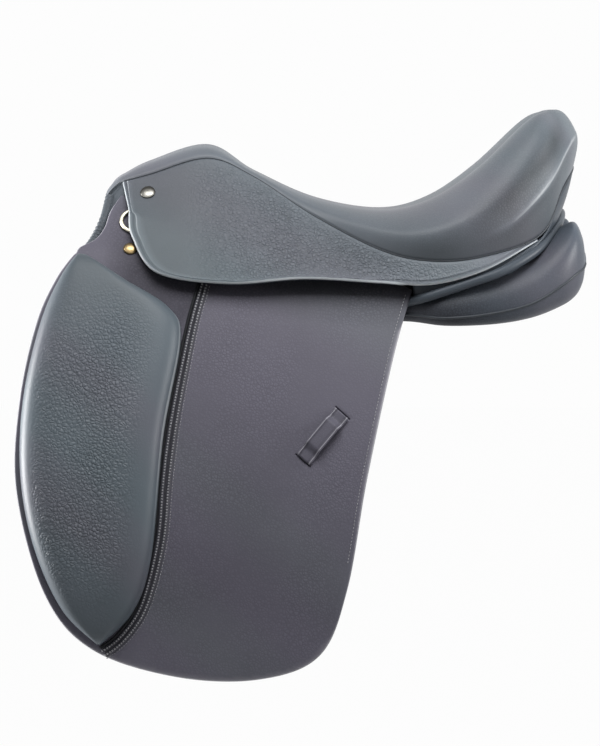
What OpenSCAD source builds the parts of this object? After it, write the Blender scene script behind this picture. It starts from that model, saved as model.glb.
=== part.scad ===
// Dressage saddle on a laminated spring tree, with long girth straps and knee blocks on the flaps.
// Frame: X runs from the pommel to the cantle, the near (left) side is -Y, Z is up.
// The origin is on the centre line, level with the underside of the panels, where the saddle rests.

/* [Seat] */
// Length of the seat from the front of the pommel to the back of the cantle
seat_length = 486; // [460:1:510]
// Distance of the pommel's front ahead of the origin
pommel_reach = 236; // [230:1:242]
// Width of the seat across its widest place
seat_width = 274; // [264:1:284]
// Height of the pommel's top
pommel_height = 194; // [188:1:204]
// Height of the lowest place of the seat
seat_height = 125; // [122:1:132]
// Height of the cantle's top
cantle_height = 230; // [218:1:245]
// Thickness of the seat leather
seat_leather = 2; // [1.5:0.1:2.5]
// Foam under the leather at the pommel
foam_front = 13; // [11:0.5:15]
// Foam under the leather at the cantle
foam_rear = 26; // [22:0.5:28]
// Radius of the piping sewn between seat and skirt
piping_radius = 2; // [1.5:0.1:2.4]

/* [Skirt] */
// Thickness of the skirt leather
skirt_leather = 3; // [2.5:0.1:3.5]

/* [Flap] */
// Length of the flap below its fold
flap_length = 414; // [380:1:450]
// Width of the flap along its fold
flap_width = 353; // [340:1:366]
// Thickness of the flap leather
flap_leather = 4; // [3:0.1:4.2]
// Bend radius of the flap over the horse's side
flap_bend = 1230; // [1100:10:1500]
// Lean of the flap from the vertical at its fold, in degrees
flap_lean = 28; // [26:0.5:30]
// Half the distance between the two folds at their front ends
fold_spread = 108; // [106:0.5:110]
// Height of the fold's front end
fold_height = 83; // [81:0.5:85]
// Height lost by the fold towards the rear, in degrees
fold_slope = 6.2; // [5.8:0.1:6.6]
// Outward turn of the fold towards the rear, in degrees
fold_toe = 3; // [2.6:0.1:3.4]
// Lean of the fixed flap head above the fold, in degrees
head_lean = 43; // [42:0.5:44]
// Thickness of the knee block
block_thickness = 24; // [16:1:30]
// Length of the strap keeper on the flap
keeper_length = 60; // [50:1:70]
// Width of the strap keeper
keeper_width = 18; // [14:1:24]
// Room for a strap under the keeper
keeper_room = 5; // [4.5:0.1:6]

/* [Girth straps] */
// Width of each girth strap
billet_width = 28; // [25:1:32]
// Length of each girth strap below its pivot
billet_length = 360; // [320:1:364]
// Thickness of a girth strap
billet_leather = 4; // [3:0.1:4.2]
// Distance between the two straps of a side
billet_spacing = 125; // [118:1:130]
// Radius of the buckle holes
billet_hole_radius = 3; // [2:0.1:4]
// Buckle holes in each strap
billet_holes = 8; // [5:1:9]
// Distance from hole to hole
hole_pitch = 25; // [20:0.5:28]

/* [Tree and panel] */
// Thickness of the laminated tree
tree_wall = 8; // [6:0.5:8.5]
// Thickness of the steel gullet plate
plate_steel = 3; // [2:0.1:3.5]
// Leather of the panel
panel_leather = 1.8; // [1.2:0.1:2]
// Half the width of the channel between the panels
channel_half = 33; // [30:0.5:36]
// Radius of the leather roll along the rear of the panel
rear_roll_radius = 5; // [4:0.1:5.5]
// Radius of the leather roll along the front of the pommel
front_roll_radius = 5; // [4:0.1:5.6]

/* [Fittings] */
// Radius of the domed nail on the skirt
skirt_nail_radius = 8; // [5:0.1:8.4]
// Radius of the brass nail on the flap head
flap_nail_radius = 7.3; // [5:0.1:7.6]
// Outer length of the straight side of a dee
dee_length = 34; // [28:0.5:35]
// Radius of the wire of a dee
dee_wire = 2; // [1.5:0.1:2.2]
// Length of the stirrup bar's tongue
tongue_length = 62; // [55:1:68]
// Height of the tongue
tongue_height = 11; // [9:0.5:13]
// Thickness of the tongue
tongue_thickness = 6; // [5:0.1:6.5]
// Room for the stirrup leather behind the tongue
stirrup_room = 4.6; // [4.2:0.1:5]

/* [Hidden] */

gap = 0.5;          // clearance between pieces that lie on each other
leather = "#4b4c55";
leather_dark = "#3c3d45";
steel = "silver";
brass = "#c8a65a";
wood = "burlywood";
fine = 90;          // segments of a round fitting
cantle_x = seat_length - pommel_reach;

// Curves and grids

function mix(a, b, f) = a + (b - a) * f;
function unit(v) = v / max(norm(v), 1e-9);
function flip(p) = [p.x, -p.y, p.z];

// Smooth curve through the points p, with u running from 0 to 1 along the whole list
function spline(p, u) =
  let (n = len(p) - 1, s = min(max(u, 0), 1) * n, i = min(floor(s), n - 1), f = s - i,
       a = p[max(i - 1, 0)], b = p[i], c = p[i + 1], d = p[min(i + 2, n)])
  b + f * ((c - a) / 2 + f * ((a - 2.5 * b + 2 * c - d / 2) + f * ((d - a) / 2 + 1.5 * (b - c))));
function curve(p, steps) = [for (i = [0:steps]) spline(p, i / steps)];

function grid_normal(g, i, j) =
  let (ni = len(g) - 1, nj = len(g[0]) - 1)
  unit(cross(g[min(i + 1, ni)][j] - g[max(i - 1, 0)][j], g[i][min(j + 1, nj)] - g[i][max(j - 1, 0)]));
function shifted(g, d) =
  [for (i = [0:len(g) - 1]) [for (j = [0:len(g[0]) - 1]) g[i][j] + d * grid_normal(g, i, j)]];
function flat(g) = [for (row = g) for (p = row) p];
function quad(a, b, c, d) = [[a, d, c], [a, c, b]];

// Closed solid between two grids of the same size, the first one outside
module between(top, under) {
  ni = len(top) - 1;
  nj = len(top[0]) - 1;
  m = (ni + 1) * (nj + 1);
  function at(i, j) = i * (nj + 1) + j;
  faces = concat(
    [for (i = [0:ni - 1]) for (j = [0:nj - 1])
      each quad(at(i, j), at(i + 1, j), at(i + 1, j + 1), at(i, j + 1))],
    [for (i = [0:ni - 1]) for (j = [0:nj - 1])
      each quad(m + at(i, j), m + at(i, j + 1), m + at(i + 1, j + 1), m + at(i + 1, j))],
    [for (i = [0:ni - 1]) each quad(at(i, 0), m + at(i, 0), m + at(i + 1, 0), at(i + 1, 0))],
    [for (i = [0:ni - 1]) each quad(at(i + 1, nj), m + at(i + 1, nj), m + at(i, nj), at(i, nj))],
    [for (j = [0:nj - 1]) each quad(at(0, j + 1), m + at(0, j + 1), m + at(0, j), at(0, j))],
    [for (j = [0:nj - 1]) each quad(at(ni, j), m + at(ni, j), m + at(ni, j + 1), at(ni, j + 1))]);
  polyhedron(concat(flat(top), flat(under)), faces, convexity = 8);
}
module sheet(g, low, high) between(shifted(g, high), shifted(g, low));

// Solid through closed rings of points
module loft(rings) {
  n = len(rings[0]);
  last = len(rings) - 1;
  faces = concat(
    [for (i = [0:last - 1]) for (j = [0:n - 1])
      each quad(i * n + j, (i + 1) * n + j, (i + 1) * n + (j + 1) % n, i * n + (j + 1) % n)],
    [for (j = [1:n - 2]) [0, j + 1, j]],
    [for (j = [1:n - 2]) [last * n, last * n + j, last * n + j + 1]]);
  polyhedron(flat(rings), faces, convexity = 8);
}
function tube_ring(p, i, r, sides) =
  let (t = unit(p[min(i + 1, len(p) - 1)] - p[max(i - 1, 0)]), side = unit(cross(t, [0.1, 0.05, 1])),
       up = cross(side, t))
  [for (k = [0:sides - 1]) p[i] + r * (cos(360 * k / sides) * side + sin(360 * k / sides) * up)];
module tube(p, r, sides) loft([for (i = [0:len(p) - 1]) tube_ring(p, i, r, sides)]);

module mirrored() mirror([0, 1, 0]) children();
module placed(o, ex, ey, ez)
  multmatrix([[ex.x, ey.x, ez.x, o.x], [ex.y, ey.y, ez.y, o.y], [ex.z, ey.z, ez.z, o.z], [0, 0, 0, 1]])
    children();

// Seat form: stations from the pommel to the back of the cantle.
// Each has: spine place, pommel share and cantle share of the spine's height, crest above the spine,
// bulge of the side (share of the rib, drop below the spine), edge place, share of the half width, edge drop.
// Places are shares of the seat's length; drops are in millimetres.
SEAT = [
  [0.008, 0.50, 0.00, -1, 0.93, 1.5, 0.008, 0.307, 4],
  [0.068, 0.725, 0.00, -2.5, 0.95, 7, 0.068, 0.314, 12],
  [0.195, 0.99, 0.00, -3, 0.95, 7, 0.195, 0.350, 13],
  [0.296, 0.60, 0.00, -0.5, 0.95, 1.5, 0.296, 0.410, 5],
  [0.428, 0.19, 0.00, -1.5, 0.97, 8, 0.428, 0.620, 18],
  [0.572, 0.00, 0.00, -1, 0.99, 17, 0.572, 0.890, 40],
  [0.681, 0.00, 0.07, 4, 1.015, 24, 0.681, 0.993, 58],
  [0.778, 0.00, 0.345, 9, 1.03, 31, 0.792, 0.978, 82],
  [0.844, 0.00, 0.61, 29, 1.045, 15, 0.916, 0.715, 89],
  [0.858, 0.00, 0.67, 32, 1.055, 2, 0.968, 0.440, 48],
  [0.866, 0.00, 0.71, 31, 1.060, -4, 0.992, 0.220, 35],
  [0.868, 0.00, 0.72, 30.5, 1.063, -6, 0.998, 0.000, 30]
];
LAST = len(SEAT) - 1;
CREST = 0.6;         // share of a rib where its crest lies
CREST_SHIFT = 0.14;  // the crest lies this much further out where the spine is at the cantle's height
TREE_RISE = 0.55;    // share of the crest that the tree follows
function along(share) = share * seat_length - pommel_reach;
function station(s) = spline(SEAT, s / LAST);
function spine_height(r) =
  seat_height + r[1] * (pommel_height - seat_height) + r[2] * (cantle_height - seat_height);
function rib_place(r, share, z) =
  [mix(along(r[0]), along(r[6]), share), -share * r[7] * seat_width / 2, z];
function seat_at(s, k) =
  let (r = station(s), zc = spine_height(r),
       crest = CREST + CREST_SHIFT * r[2],
       q = spline([[0, zc], [crest, zc + r[3]], [r[4], zc - r[5]], [1, zc - r[8]]], k))
  rib_place(r, q[0], q[1]);
function seam_at(s) = seat_at(s, 1);

// Upper face of the webs and tree, under the foam
tree_inset = 9;      // how far the tree stays inside the seam
tree_drop = 3;       // and below it
function foam_at(s) = mix(foam_front, foam_rear, s / LAST);
function tree_at(s, k) =
  let (r = station(s), zc = spine_height(r) - foam_at(s), rise = max(r[3], 0) * TREE_RISE,
       reach = norm([along(r[6]) - along(r[0]), r[7] * seat_width / 2]),
       edge = 1 - tree_inset / max(reach, tree_inset * 2),
       q = spline([[0, zc], [edge * CREST, zc + rise], [edge, spine_height(r) - r[8] - tree_drop]], k))
  rib_place(r, q[0], q[1]);

// Ribs run round the seat from the left front over the cantle to the right front
SEAT_COLUMNS = 18;   // ribs on each side
SEAT_STEPS = 8;      // points from the edge to the spine
function column(i) = LAST * (1 - abs(i) / SEAT_COLUMNS);
function sided(p, i) = i > 0 ? flip(p) : p;
// The cover ends beside the piping: share of a rib where its edge is cut
seat_cut = piping_radius + 1.1;
CUT_LIMIT = 0.38;    // most that is cut from a rib
function rib_end(s) =
  let (last_span = norm(seat_at(s, 2 / 3) - seat_at(s, 1))) 1 - min(0.7 * seat_cut / last_span, CUT_LIMIT);
function seat_grid() =
  [for (i = [-SEAT_COLUMNS:SEAT_COLUMNS]) [for (j = [0:SEAT_STEPS])
    sided(seat_at(column(i), rib_end(column(i)) * (1 - j / SEAT_STEPS)), i)]];
function tree_grid() =
  [for (i = [-SEAT_COLUMNS:SEAT_COLUMNS]) [for (j = [0:SEAT_STEPS])
    sided(tree_at(column(i), 1 - j / SEAT_STEPS), i)]];

// Normal on a grid whose last column is the shared spine
function seat_normal(g, i, j) =
  let (n = SEAT_COLUMNS, m = SEAT_STEPS)
  j < m ? grid_normal(g, i, j)
    : i == n ? unit(cross(g[n][m - 1] - g[n - 1][m], g[n + 1][m - 1] - g[n - 1][m - 1]))
    : unit(cross(g[min(i + 1, n)][m] - g[max(i - 1, 0)][m], g[2 * n - i][m - 1] - g[i][m - 1]));
function seat_shifted(g, d) =
  [for (i = [0:2 * SEAT_COLUMNS]) [for (j = [0:SEAT_STEPS])
    let (k = j < SEAT_STEPS ? i : min(i, 2 * SEAT_COLUMNS - i)) g[i][j] + d * seat_normal(g, k, j)]];

// Closed solid between two seat grids, joined along the spine
module seat_between(top, under) {
  n = 2 * SEAT_COLUMNS;
  m = SEAT_STEPS;
  count = (n + 1) * m + SEAT_COLUMNS + 1;
  function at(i, j) = j < m ? i * m + j : (n + 1) * m + min(i, n - i);
  function points(g) = concat([for (i = [0:n]) for (j = [0:m - 1]) g[i][j]],
                              [for (i = [0:SEAT_COLUMNS]) g[i][m]]);
  all_faces = concat(
    [for (i = [0:n - 1]) for (j = [0:m - 1])
      each quad(at(i, j), at(i + 1, j), at(i + 1, j + 1), at(i, j + 1))],
    [for (i = [0:n - 1]) for (j = [0:m - 1])
      each quad(count + at(i, j), count + at(i, j + 1), count + at(i + 1, j + 1), count + at(i + 1, j))],
    [for (i = [0:n - 1]) each quad(at(i, 0), count + at(i, 0), count + at(i + 1, 0), at(i + 1, 0))],
    [for (j = [0:m - 1]) each quad(at(0, j + 1), count + at(0, j + 1), count + at(0, j), at(0, j))],
    [for (j = [0:m - 1]) each quad(at(n, j), count + at(n, j), count + at(n, j + 1), at(n, j + 1))]);
  polyhedron(concat(points(top), points(under)), all_faces, convexity = 8);
}
module seat_cover() color(leather) {
  g = seat_grid();
  seat_between(g, seat_shifted(g, -seat_leather));
}
foam_gap = 0.8;
module seat_foam() color("wheat")
  seat_between(seat_shifted(seat_grid(), -seat_leather - foam_gap), tree_grid());
PIPING_STEPS = 32;
PIPING_FIRST = 0.05;
module seat_piping() color(leather_dark)
  tube([for (i = [-PIPING_STEPS:PIPING_STEPS])
    sided(seam_at(mix(LAST, PIPING_FIRST, abs(i) / PIPING_STEPS)), i)], piping_radius, 6);

// Flap frame: its X runs along the fold, its Z up the flap, its outer face passes through the fold

fold_reach = 41;     // the fold starts this far ahead of the pommel
fold_start = [-pommel_reach - fold_reach, -fold_spread, fold_height];
fold_gap = 1;        // each leather edge stays this far from the fold
function turn_z(p, a) = [p.x * cos(a) - p.y * sin(a), p.x * sin(a) + p.y * cos(a), p.z];
function turn_y(p, a) = [p.x * cos(a) + p.z * sin(a), p.y, -p.x * sin(a) + p.z * cos(a)];
function from_flap(p) = fold_start + turn_y(turn_z(p, -fold_toe), fold_slope);
module in_flap_frame() translate(fold_start) rotate([0, fold_slope, 0]) rotate([0, 0, -fold_toe]) children();

// Depth inwards from the flap's outer face to each layer behind it
web_depth = flap_leather + 2.3;
web_cloth = 2;
billet_depth = web_depth + web_cloth + gap;
billet_play = 1.2;   // room for a strap to swing behind the flap
sweat_depth = billet_depth + billet_leather + billet_play;
sweat_leather = 3;
point_depth = flap_leather + gap;
point_wall = sweat_depth - gap - point_depth;
bar_depth = web_depth + web_cloth + gap;

function flank_sine(z) = sin(flap_lean) + z / flap_bend;
function flank_y(z) = flap_bend * (cos(flap_lean) - sqrt(1 - flank_sine(z) * flank_sine(z)));
function flank_normal(z) = [0, -sqrt(1 - flank_sine(z) * flank_sine(z)), flank_sine(z)];
function flank_at(x, z, out) = from_flap([x, flank_y(z), z] + out * flank_normal(z));
function head_at(x, d, out) =
  from_flap([x, d * sin(head_lean) - out * cos(head_lean), d * cos(head_lean) + out * sin(head_lean)]);

// Leather cut to an outline and bent over the horse's side, between two depths
module bent(outline, low, high) in_flap_frame() intersection() {
  translate([-flap_width, flap_bend * cos(flap_lean), -flap_bend * sin(flap_lean)]) rotate([0, 90, 0])
    difference() {
      cylinder(r = flap_bend - low, h = 3 * flap_width, $fn = 720);
      translate([0, 0, -1]) cylinder(r = flap_bend - high, h = 3 * flap_width + 2, $fn = 720);
    }
  translate([0, flap_width, 0]) rotate([90, 0, 0]) linear_extrude(2 * flap_width) polygon(outline);
}
// Leather in the flat plane of the flap head, above the fold
module head_leather(outline, low, high) in_flap_frame() rotate([-head_lean, 0, 0])
  translate([0, high, 0]) rotate([90, 0, 0]) linear_extrude(high - low) polygon(outline);

// Edge of the flap below the fold, from the fold's front end to its rear end, in shares
FLAP_FORM = [
  [0.000, 0.000], [-0.041, 0.072], [-0.079, 0.185], [-0.096, 0.375], [-0.066, 0.590], [0.058, 0.830],
  [0.207, 0.949], [0.450, 0.996], [0.690, 0.980], [0.855, 0.904], [0.910, 0.740], [0.929, 0.470],
  [0.965, 0.170], [1.000, 0.000]
];
function flap_edge() = [for (p = FLAP_FORM) [p.x * flap_width, -p.y * flap_length - fold_gap]];
module flap() color(leather) bent(curve(flap_edge(), 52), 0, flap_leather);

// Flap head: the fixed part of the flap above the fold, up to the pommel
head_gap = 3.6;      // the head's leather starts this far above the fold and so clears the flap
HEAD_FORM = [[0, 0], [3, 5], [17, 18], [24, 35], [27, 59], [35, 83]];
HEAD_REAR = [[54, 84], [76, 58], [92, 28], [120, 14]];
HEAD_STRIP = [0.85, 13];   // the narrow rear strip: share of the flap's width and height above the fold
module flap_head() color(leather) head_leather(concat(
  [for (p = curve(HEAD_FORM, 15)) [p.x, p.y + head_gap]], HEAD_REAR,
  [[HEAD_STRIP.x * flap_width, HEAD_STRIP.y], [HEAD_STRIP.x * flap_width, head_gap]]), 0, flap_leather);

// Sweat flap: the inner flap, a little smaller than the outer one
sweat_inset = 14;    // its upper edge lies this far below the fold
SWEAT_MIDDLE = [0.45, 0.45];
SWEAT_SHRINK = [0.07, 0.06];
SWEAT_TOP = [0.085, 0.9];   // ends of its upper edge along the fold
function sweat_edge() =
  [for (p = FLAP_FORM) [mix(p.x, SWEAT_MIDDLE.x, SWEAT_SHRINK.x) * flap_width,
                        -mix(p.y, SWEAT_MIDDLE.y, SWEAT_SHRINK.y) * flap_length]];
module sweat_flap() color(leather_dark)
  bent(concat([[SWEAT_TOP[0] * flap_width, -sweat_inset]], curve([for (i = [2:12]) sweat_edge()[i]], 44),
              [[SWEAT_TOP[1] * flap_width, -sweat_inset]]), sweat_depth, sweat_depth + sweat_leather);

// Knee block: a padded wedge sewn on the front of the flap. Its two edges, from top to bottom, in shares of
// the flap's width and length
BLOCK_FRONT = [
  [0.010, 0.012], [-0.034, 0.075], [-0.071, 0.187], [-0.088, 0.375], [-0.064, 0.560], [0.003, 0.727],
  [0.107, 0.868], [0.220, 0.941]
];
BLOCK_REAR = [
  [0.025, 0.012], [0.167, 0.067], [0.305, 0.117], [0.353, 0.190], [0.338, 0.420], [0.347, 0.712],
  [0.312, 0.850], [0.228, 0.941]
];
BLOCK_EDGE = 2.5;    // height of the block along its edge
BLOCK_SIDES = 3.4;   // exponents that make its middle flat and its rim round
BLOCK_ENDS = 5;
BLOCK_ROWS = 18;
BLOCK_STEPS = 8;
function block_place(v, u) =
  let (p = mix(spline(BLOCK_FRONT, v), spline(BLOCK_REAR, v), u)) [p.x * flap_width, -p.y * flap_length];
function dome(u, e) = sqrt(1 - pow(abs(2 * u - 1), e));
function block_height(v, u) = mix(BLOCK_EDGE, block_thickness, dome(u, BLOCK_SIDES) * dome(v, BLOCK_ENDS));
function block_grid(top) =
  [for (i = [0:BLOCK_ROWS]) let (v = 0.015 + 0.97 * i / BLOCK_ROWS) [for (j = [0:BLOCK_STEPS])
    let (u = (1 - cos(180 * j / BLOCK_STEPS)) / 2, p = block_place(v, u))
      flank_at(p.x, p.y, gap + top * block_height(v, u))]];
module knee_block() color(leather) between(block_grid(1), block_grid(0));

// Keeper: a strap loop sewn down at both ends, which takes the end of a stirrup leather
KEEPER_AT = [0.793, 0.381];
keeper_tilt = 56;
keeper_leather = 2.5;
module keeper() {
  x = KEEPER_AT.x * flap_width;
  z = -KEEPER_AT.y * flap_length;
  h = keeper_length / 2;
  foot = 9;
  rise = 7;
  line = [[-h, 0], [-h + foot, 0], [-h + foot + rise, keeper_room], [h - foot - rise, keeper_room],
          [h - foot, 0], [h, 0]];
  back = [for (i = [len(line) - 1:-1:0]) line[i] + [0, keeper_leather]];
  color(leather_dark) in_flap_frame() translate([x, flank_y(z), z])
    rotate([-asin(flank_sine(z)), 0, 0]) rotate([0, -keeper_tilt, 0])
      translate([0, -gap - 0.4, -keeper_width / 2]) mirror([0, 1, 0]) linear_extrude(keeper_width)
        polygon(concat(line, back));
}

// Domed nail, its head's underside at z = 0
nail_edge = 0.8;     // height of a nail's straight edge
nail_shank = 1.4;    // radius of its shank
module nail(r, rise, shank) union() {
  rotate_extrude($fn = fine) polygon(concat([[0, 0], [r, 0]],
    [for (a = [0:10:90]) [r * cos(a), nail_edge + rise * sin(a)]]));
  translate([0, 0, -shank]) cylinder(r = nail_shank, h = shank + 0.2, $fn = fine);
}
NAIL_AT = [55.5, 11.5];   // along the fold and above it, on the flap head
NAIL_RISE = 0.55;    // height of the flap nail's dome as a share of its radius
module flap_nail() color(brass) in_flap_frame() rotate([-head_lean, 0, 0])
  translate([NAIL_AT.x, -0.2, NAIL_AT.y]) rotate([90, 0, 0])
    nail(flap_nail_radius, NAIL_RISE * flap_nail_radius, flap_leather + 6);

// Dee: a D of wire whose straight side turns in a folded leather chape
DEE_AT = [56, 49];    // middle of the straight side on the flap head
dee_lift = dee_wire + 0.6;
chape_wall = 1.2;
chape_length = 15;
chape_width = dee_length - 14;
module in_dee_frame() in_flap_frame() rotate([-head_lean, 0, 0])
  translate([DEE_AT.x, -dee_lift, DEE_AT.y]) children();
module dee() color(steel) in_dee_frame() {
  r = dee_length / 2 - dee_wire;
  rotate([90, 0, 0]) rotate([0, 0, 90]) rotate_extrude(angle = 180, $fn = fine)
    translate([r, 0]) circle(r = dee_wire, $fn = 32);
  translate([0, 0, -r]) cylinder(r = dee_wire, h = 2 * r, $fn = fine);
  for (e = [-1, 1]) translate([0, 0, e * r]) sphere(r = dee_wire, $fn = 32);
}
module dee_chape() color(leather_dark) in_dee_frame() difference() {
  union() {
    cylinder(r = dee_wire + 0.1 + chape_wall, h = chape_width, center = true, $fn = fine);
    translate([0, dee_lift - 0.3 - 2 * chape_wall, -chape_width / 2])
      cube([chape_length, 2 * chape_wall, chape_width]);
  }
  cylinder(r = dee_wire + 0.08, h = 2 * dee_length, center = true, $fn = fine);
  translate([-dee_length, dee_lift - 0.3, -dee_length]) cube(2 * dee_length);
}

// Skirt: from the seat's seam to the hem. Its front half folds up along a straight line.

// Hem of the skirt at the seat's stations: place along the seat, distance outside the front end of the flap's
// fold, and height. It lies over the flap, so it keeps its distance to the flap and not to the seat.
HEM = [
  [0.0257, -27, 122.5], [0.035, -6, 99], [0.0905, 27, 63], [0.2387, 35, 52], [0.4033, 37, 57.5],
  [0.5679, 36, 53], [0.6811, 37, 50.5], [0.7984, 32, 66.5], [0.9136, -6.5, 96]
];
HEM_LAST = len(HEM) - 1;
fold_front = [0.0237, -29, 125];
fold_stop = 5.45;       // station where the fold meets the hem
function hem_point(q) = [along(q.x), -fold_spread - q.y, q.z];
function hem_at(s) = hem_point(spline(HEM, s / HEM_LAST));
function skirt_fold(s) = mix(hem_point(fold_front), hem_at(fold_stop), s / fold_stop);
function skirt_limit(s) = s < fold_stop ? skirt_fold(s) : hem_at(s);
skirt_fold_gap = 0.8;
function towards(a, b, d) = a + d * unit(b - a);
SKIRT_FIRST = 0.03;     // stations between which the fixed part runs
SKIRT_LAST = HEM_LAST - 0.07;
LIFT_FIRST = 0.12;      // stations between which the lifting part runs
LIFT_LAST = fold_stop - 0.18;
function skirt_top_grid() =
  [for (i = [0:24]) let (s = mix(SKIRT_FIRST, SKIRT_LAST, i / 24), b = skirt_limit(s),
                         a = towards(seam_at(s), b, seat_cut + 0.4),
                         c = s < fold_stop ? towards(b, a, skirt_fold_gap) : b)
    [for (j = [0:4]) mix(c, a, j / 4)]];
function skirt_grid() =
  [for (i = [0:18]) let (s = mix(LIFT_FIRST, LIFT_LAST, i / 18),
                         a = towards(skirt_fold(s), hem_at(s), skirt_fold_gap))
    [for (j = [0:4]) mix(hem_at(s), a, j / 4)]];
module skirt_top() color(leather) sheet(skirt_top_grid(), -skirt_leather, 0);
module skirt() color(leather) sheet(skirt_grid(), -skirt_leather, 0);

// Nail of the skirt, on the fixed part near the pommel
NAIL_STATION = 0.72;
NAIL_SHARE = 0.34;      // place between seam and fold
SKIRT_NAIL_RISE = 0.34; // height of its dome as a share of its radius
function skirt_mid(s, f) = mix(towards(seam_at(s), skirt_limit(s), seat_cut), skirt_limit(s), f);
module skirt_nail() {
  o = skirt_mid(NAIL_STATION, NAIL_SHARE);
  along_skirt = unit(skirt_mid(NAIL_STATION + 0.1, NAIL_SHARE) - skirt_mid(NAIL_STATION - 0.1, NAIL_SHARE));
  down = skirt_mid(NAIL_STATION, NAIL_SHARE + 0.1) - skirt_mid(NAIL_STATION, NAIL_SHARE - 0.1);
  out = unit(cross(down, along_skirt));
  color(steel) placed(o + 0.3 * out, along_skirt, cross(out, along_skirt), out)
    nail(skirt_nail_radius, SKIRT_NAIL_RISE * skirt_nail_radius, skirt_leather + 3);
}

// Tree: head with its points, two side bars and the cantle

web_layer = 2;          // each layer of seat webbing
web_gap = 1;
tree_depth = 2 * web_layer + 4.5;
BAR_FOOT = 22;          // height of the bars' lower edge above the fold
function bar_low(s) =
  let (p = seam_at(s), x = (p.x - fold_start.x) / cos(fold_slope)) head_at(x, BAR_FOOT, -bar_depth);
BAR_FIRST = 1.75;       // stations of the seat between which the bars run
BAR_LAST = 7;
BAR_SKIRT = 4.8;        // the side below the seam is full up to here and runs out at the next value
BAR_SKIRT_END = 6;
function bar_top(s) = tree_at(s, 1) - [0, 0, tree_depth + 2];
function bar_share(s) = min(max((BAR_SKIRT_END - s) / (BAR_SKIRT_END - BAR_SKIRT), 0), 1);
function bar_side(s, g) = mix(bar_top(s), bar_low(s), g * bar_share(s));
BAR_INNER = [0.45, 0.62]; // share of a rib at the bars' inner edge, front and rear
function bar_inner(s) = mix(BAR_INNER[0], BAR_INNER[1], s / LAST);
function bar_grid() =
  [for (i = [0:16]) let (s = mix(BAR_FIRST, BAR_LAST, i / 16))
    concat([for (g = [1, 0.66, 0.33]) bar_side(s, g) - [0, 0, 3 * g * (1 - bar_share(s))]],
           [for (j = [0:3]) tree_at(s, mix(0.96, bar_inner(s), j / 3)) - [0, 0, tree_depth]])];
module tree_bar() color(wood) sheet(bar_grid(), -tree_wall, 0);
function rows_of(g, a, b) = [for (i = [a:b]) g[i]];
spring_wall = 2.6;
spring_gap = 0.9;
module spring_steel() color(steel) between(
  part_of(rows_of(shifted(bar_grid(), -tree_wall - spring_gap), 1, 15), 5, 6),
  part_of(rows_of(shifted(bar_grid(), -tree_wall - spring_gap - spring_wall), 1, 15), 5, 6));

function cantle_grid() =
  [for (i = [-12:12]) let (s = LAST - (LAST - BAR_LAST - 0.035) * abs(i) / 12)
    [for (j = [0:4]) sided(tree_at(s, mix(1, 0.45, j / 4)), i) - [0, 0, tree_depth]]];
module tree_cantle() color(wood) sheet(cantle_grid(), -tree_wall, 0);

// Head: an arch over the withers that runs down into a point on each side.
// Its outer face lies under the flap head and, below the fold, under the flap.
POINT_FRONT = 55;       // front edge of the point along the fold
POINT_REAR = 104;       // rear edge
point_length = 52;
HEAD_HEIGHT = 62;       // the flat side of the head reaches this far above the fold
function head_side(x, q) = q < 0.5 ? flank_at(x, -point_length * (1 - 2 * q), -point_depth)
  : head_at(x, HEAD_HEIGHT * (2 * q - 1), -point_depth - 0.3);
function head_column(x, s) =
  concat([for (q = [0, 0.16, 0.33, 0.46]) head_side(x, q)],
         [for (q = [0.54, 0.7, 0.85]) head_side(x, q)],
         [tree_at(s, 1) - [0, 0, tree_depth + 7], tree_at(s, 0.72) - [0, 0, tree_depth],
          tree_at(s, 0.35) - [0, 0, tree_depth], tree_at(s, 0) - [0, 0, tree_depth]]);
HEAD_FIRST = 0.45;      // stations of the seat between which the head runs
HEAD_LAST = 1.7;
function head_half() =
  [for (i = [0:3]) head_column(mix(POINT_FRONT, POINT_REAR, i / 3), mix(HEAD_FIRST, HEAD_LAST, i / 3))];
function whole(half) =
  let (n = len(half[0])) [for (row = half) concat(row, [for (j = [n - 2:-1:0]) flip(row[j])])];
function part_of(g, a, b) = [for (row = g) [for (j = [a:b]) row[j]]];
module tree_head() color(wood) sheet(whole(head_half()), -point_wall, 0);
module gullet_plate() color(steel)
  sheet(part_of(whole(head_half()), 5, 15), -point_wall - gap - plate_steel, -point_wall - gap);

// Seat webbing: one long web over a cross web
function long_web_grid() =
  [for (i = [SEAT_COLUMNS - 1:-1:6]) [for (j = [-2:2]) sided(tree_at(column(i), abs(j) / SEAT_STEPS), j)]];
module seat_web_long() color("tan") sheet(long_web_grid(), -web_gap - web_layer, -web_gap);
CROSS_WEB = [3.6, 4.5]; // stations of the cross web's edges
CROSS_REACH = 0.9;      // share of a rib at its ends
function cross_web_grid() =
  [for (i = [0:4]) let (s = mix(CROSS_WEB[0], CROSS_WEB[1], i / 4))
    [for (j = [-6:6]) sided(tree_at(s, CROSS_REACH * abs(j) / 6), j)]];
cross_web_depth = web_gap + gap + web_layer;
module seat_web_cross() color("tan") sheet(cross_web_grid(), -cross_web_depth - web_layer, -cross_web_depth);

// Rolls and facings that close the front and the back

// Path of the rear roll from the middle of the back to the flap: place before the cantle's back, share of the
// seat's half width, height
REAR_ROLL = [
  [-14, 0, 121], [-22, 0.438, 107], [-45, 0.759, 84.5], [-82, 0.9635, 64], [-119, 1.0146, 51],
  [-166, 1.0073, 36]
];
function rear_roll_at(u) = let (p = spline(REAR_ROLL, u)) [cantle_x + p.x, -p.y * seat_width / 2, p.z];
module rear_roll() color(leather)
  tube([for (i = [-20:20]) sided(rear_roll_at(abs(i) / 20), i)], rear_roll_radius, 8);

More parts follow.
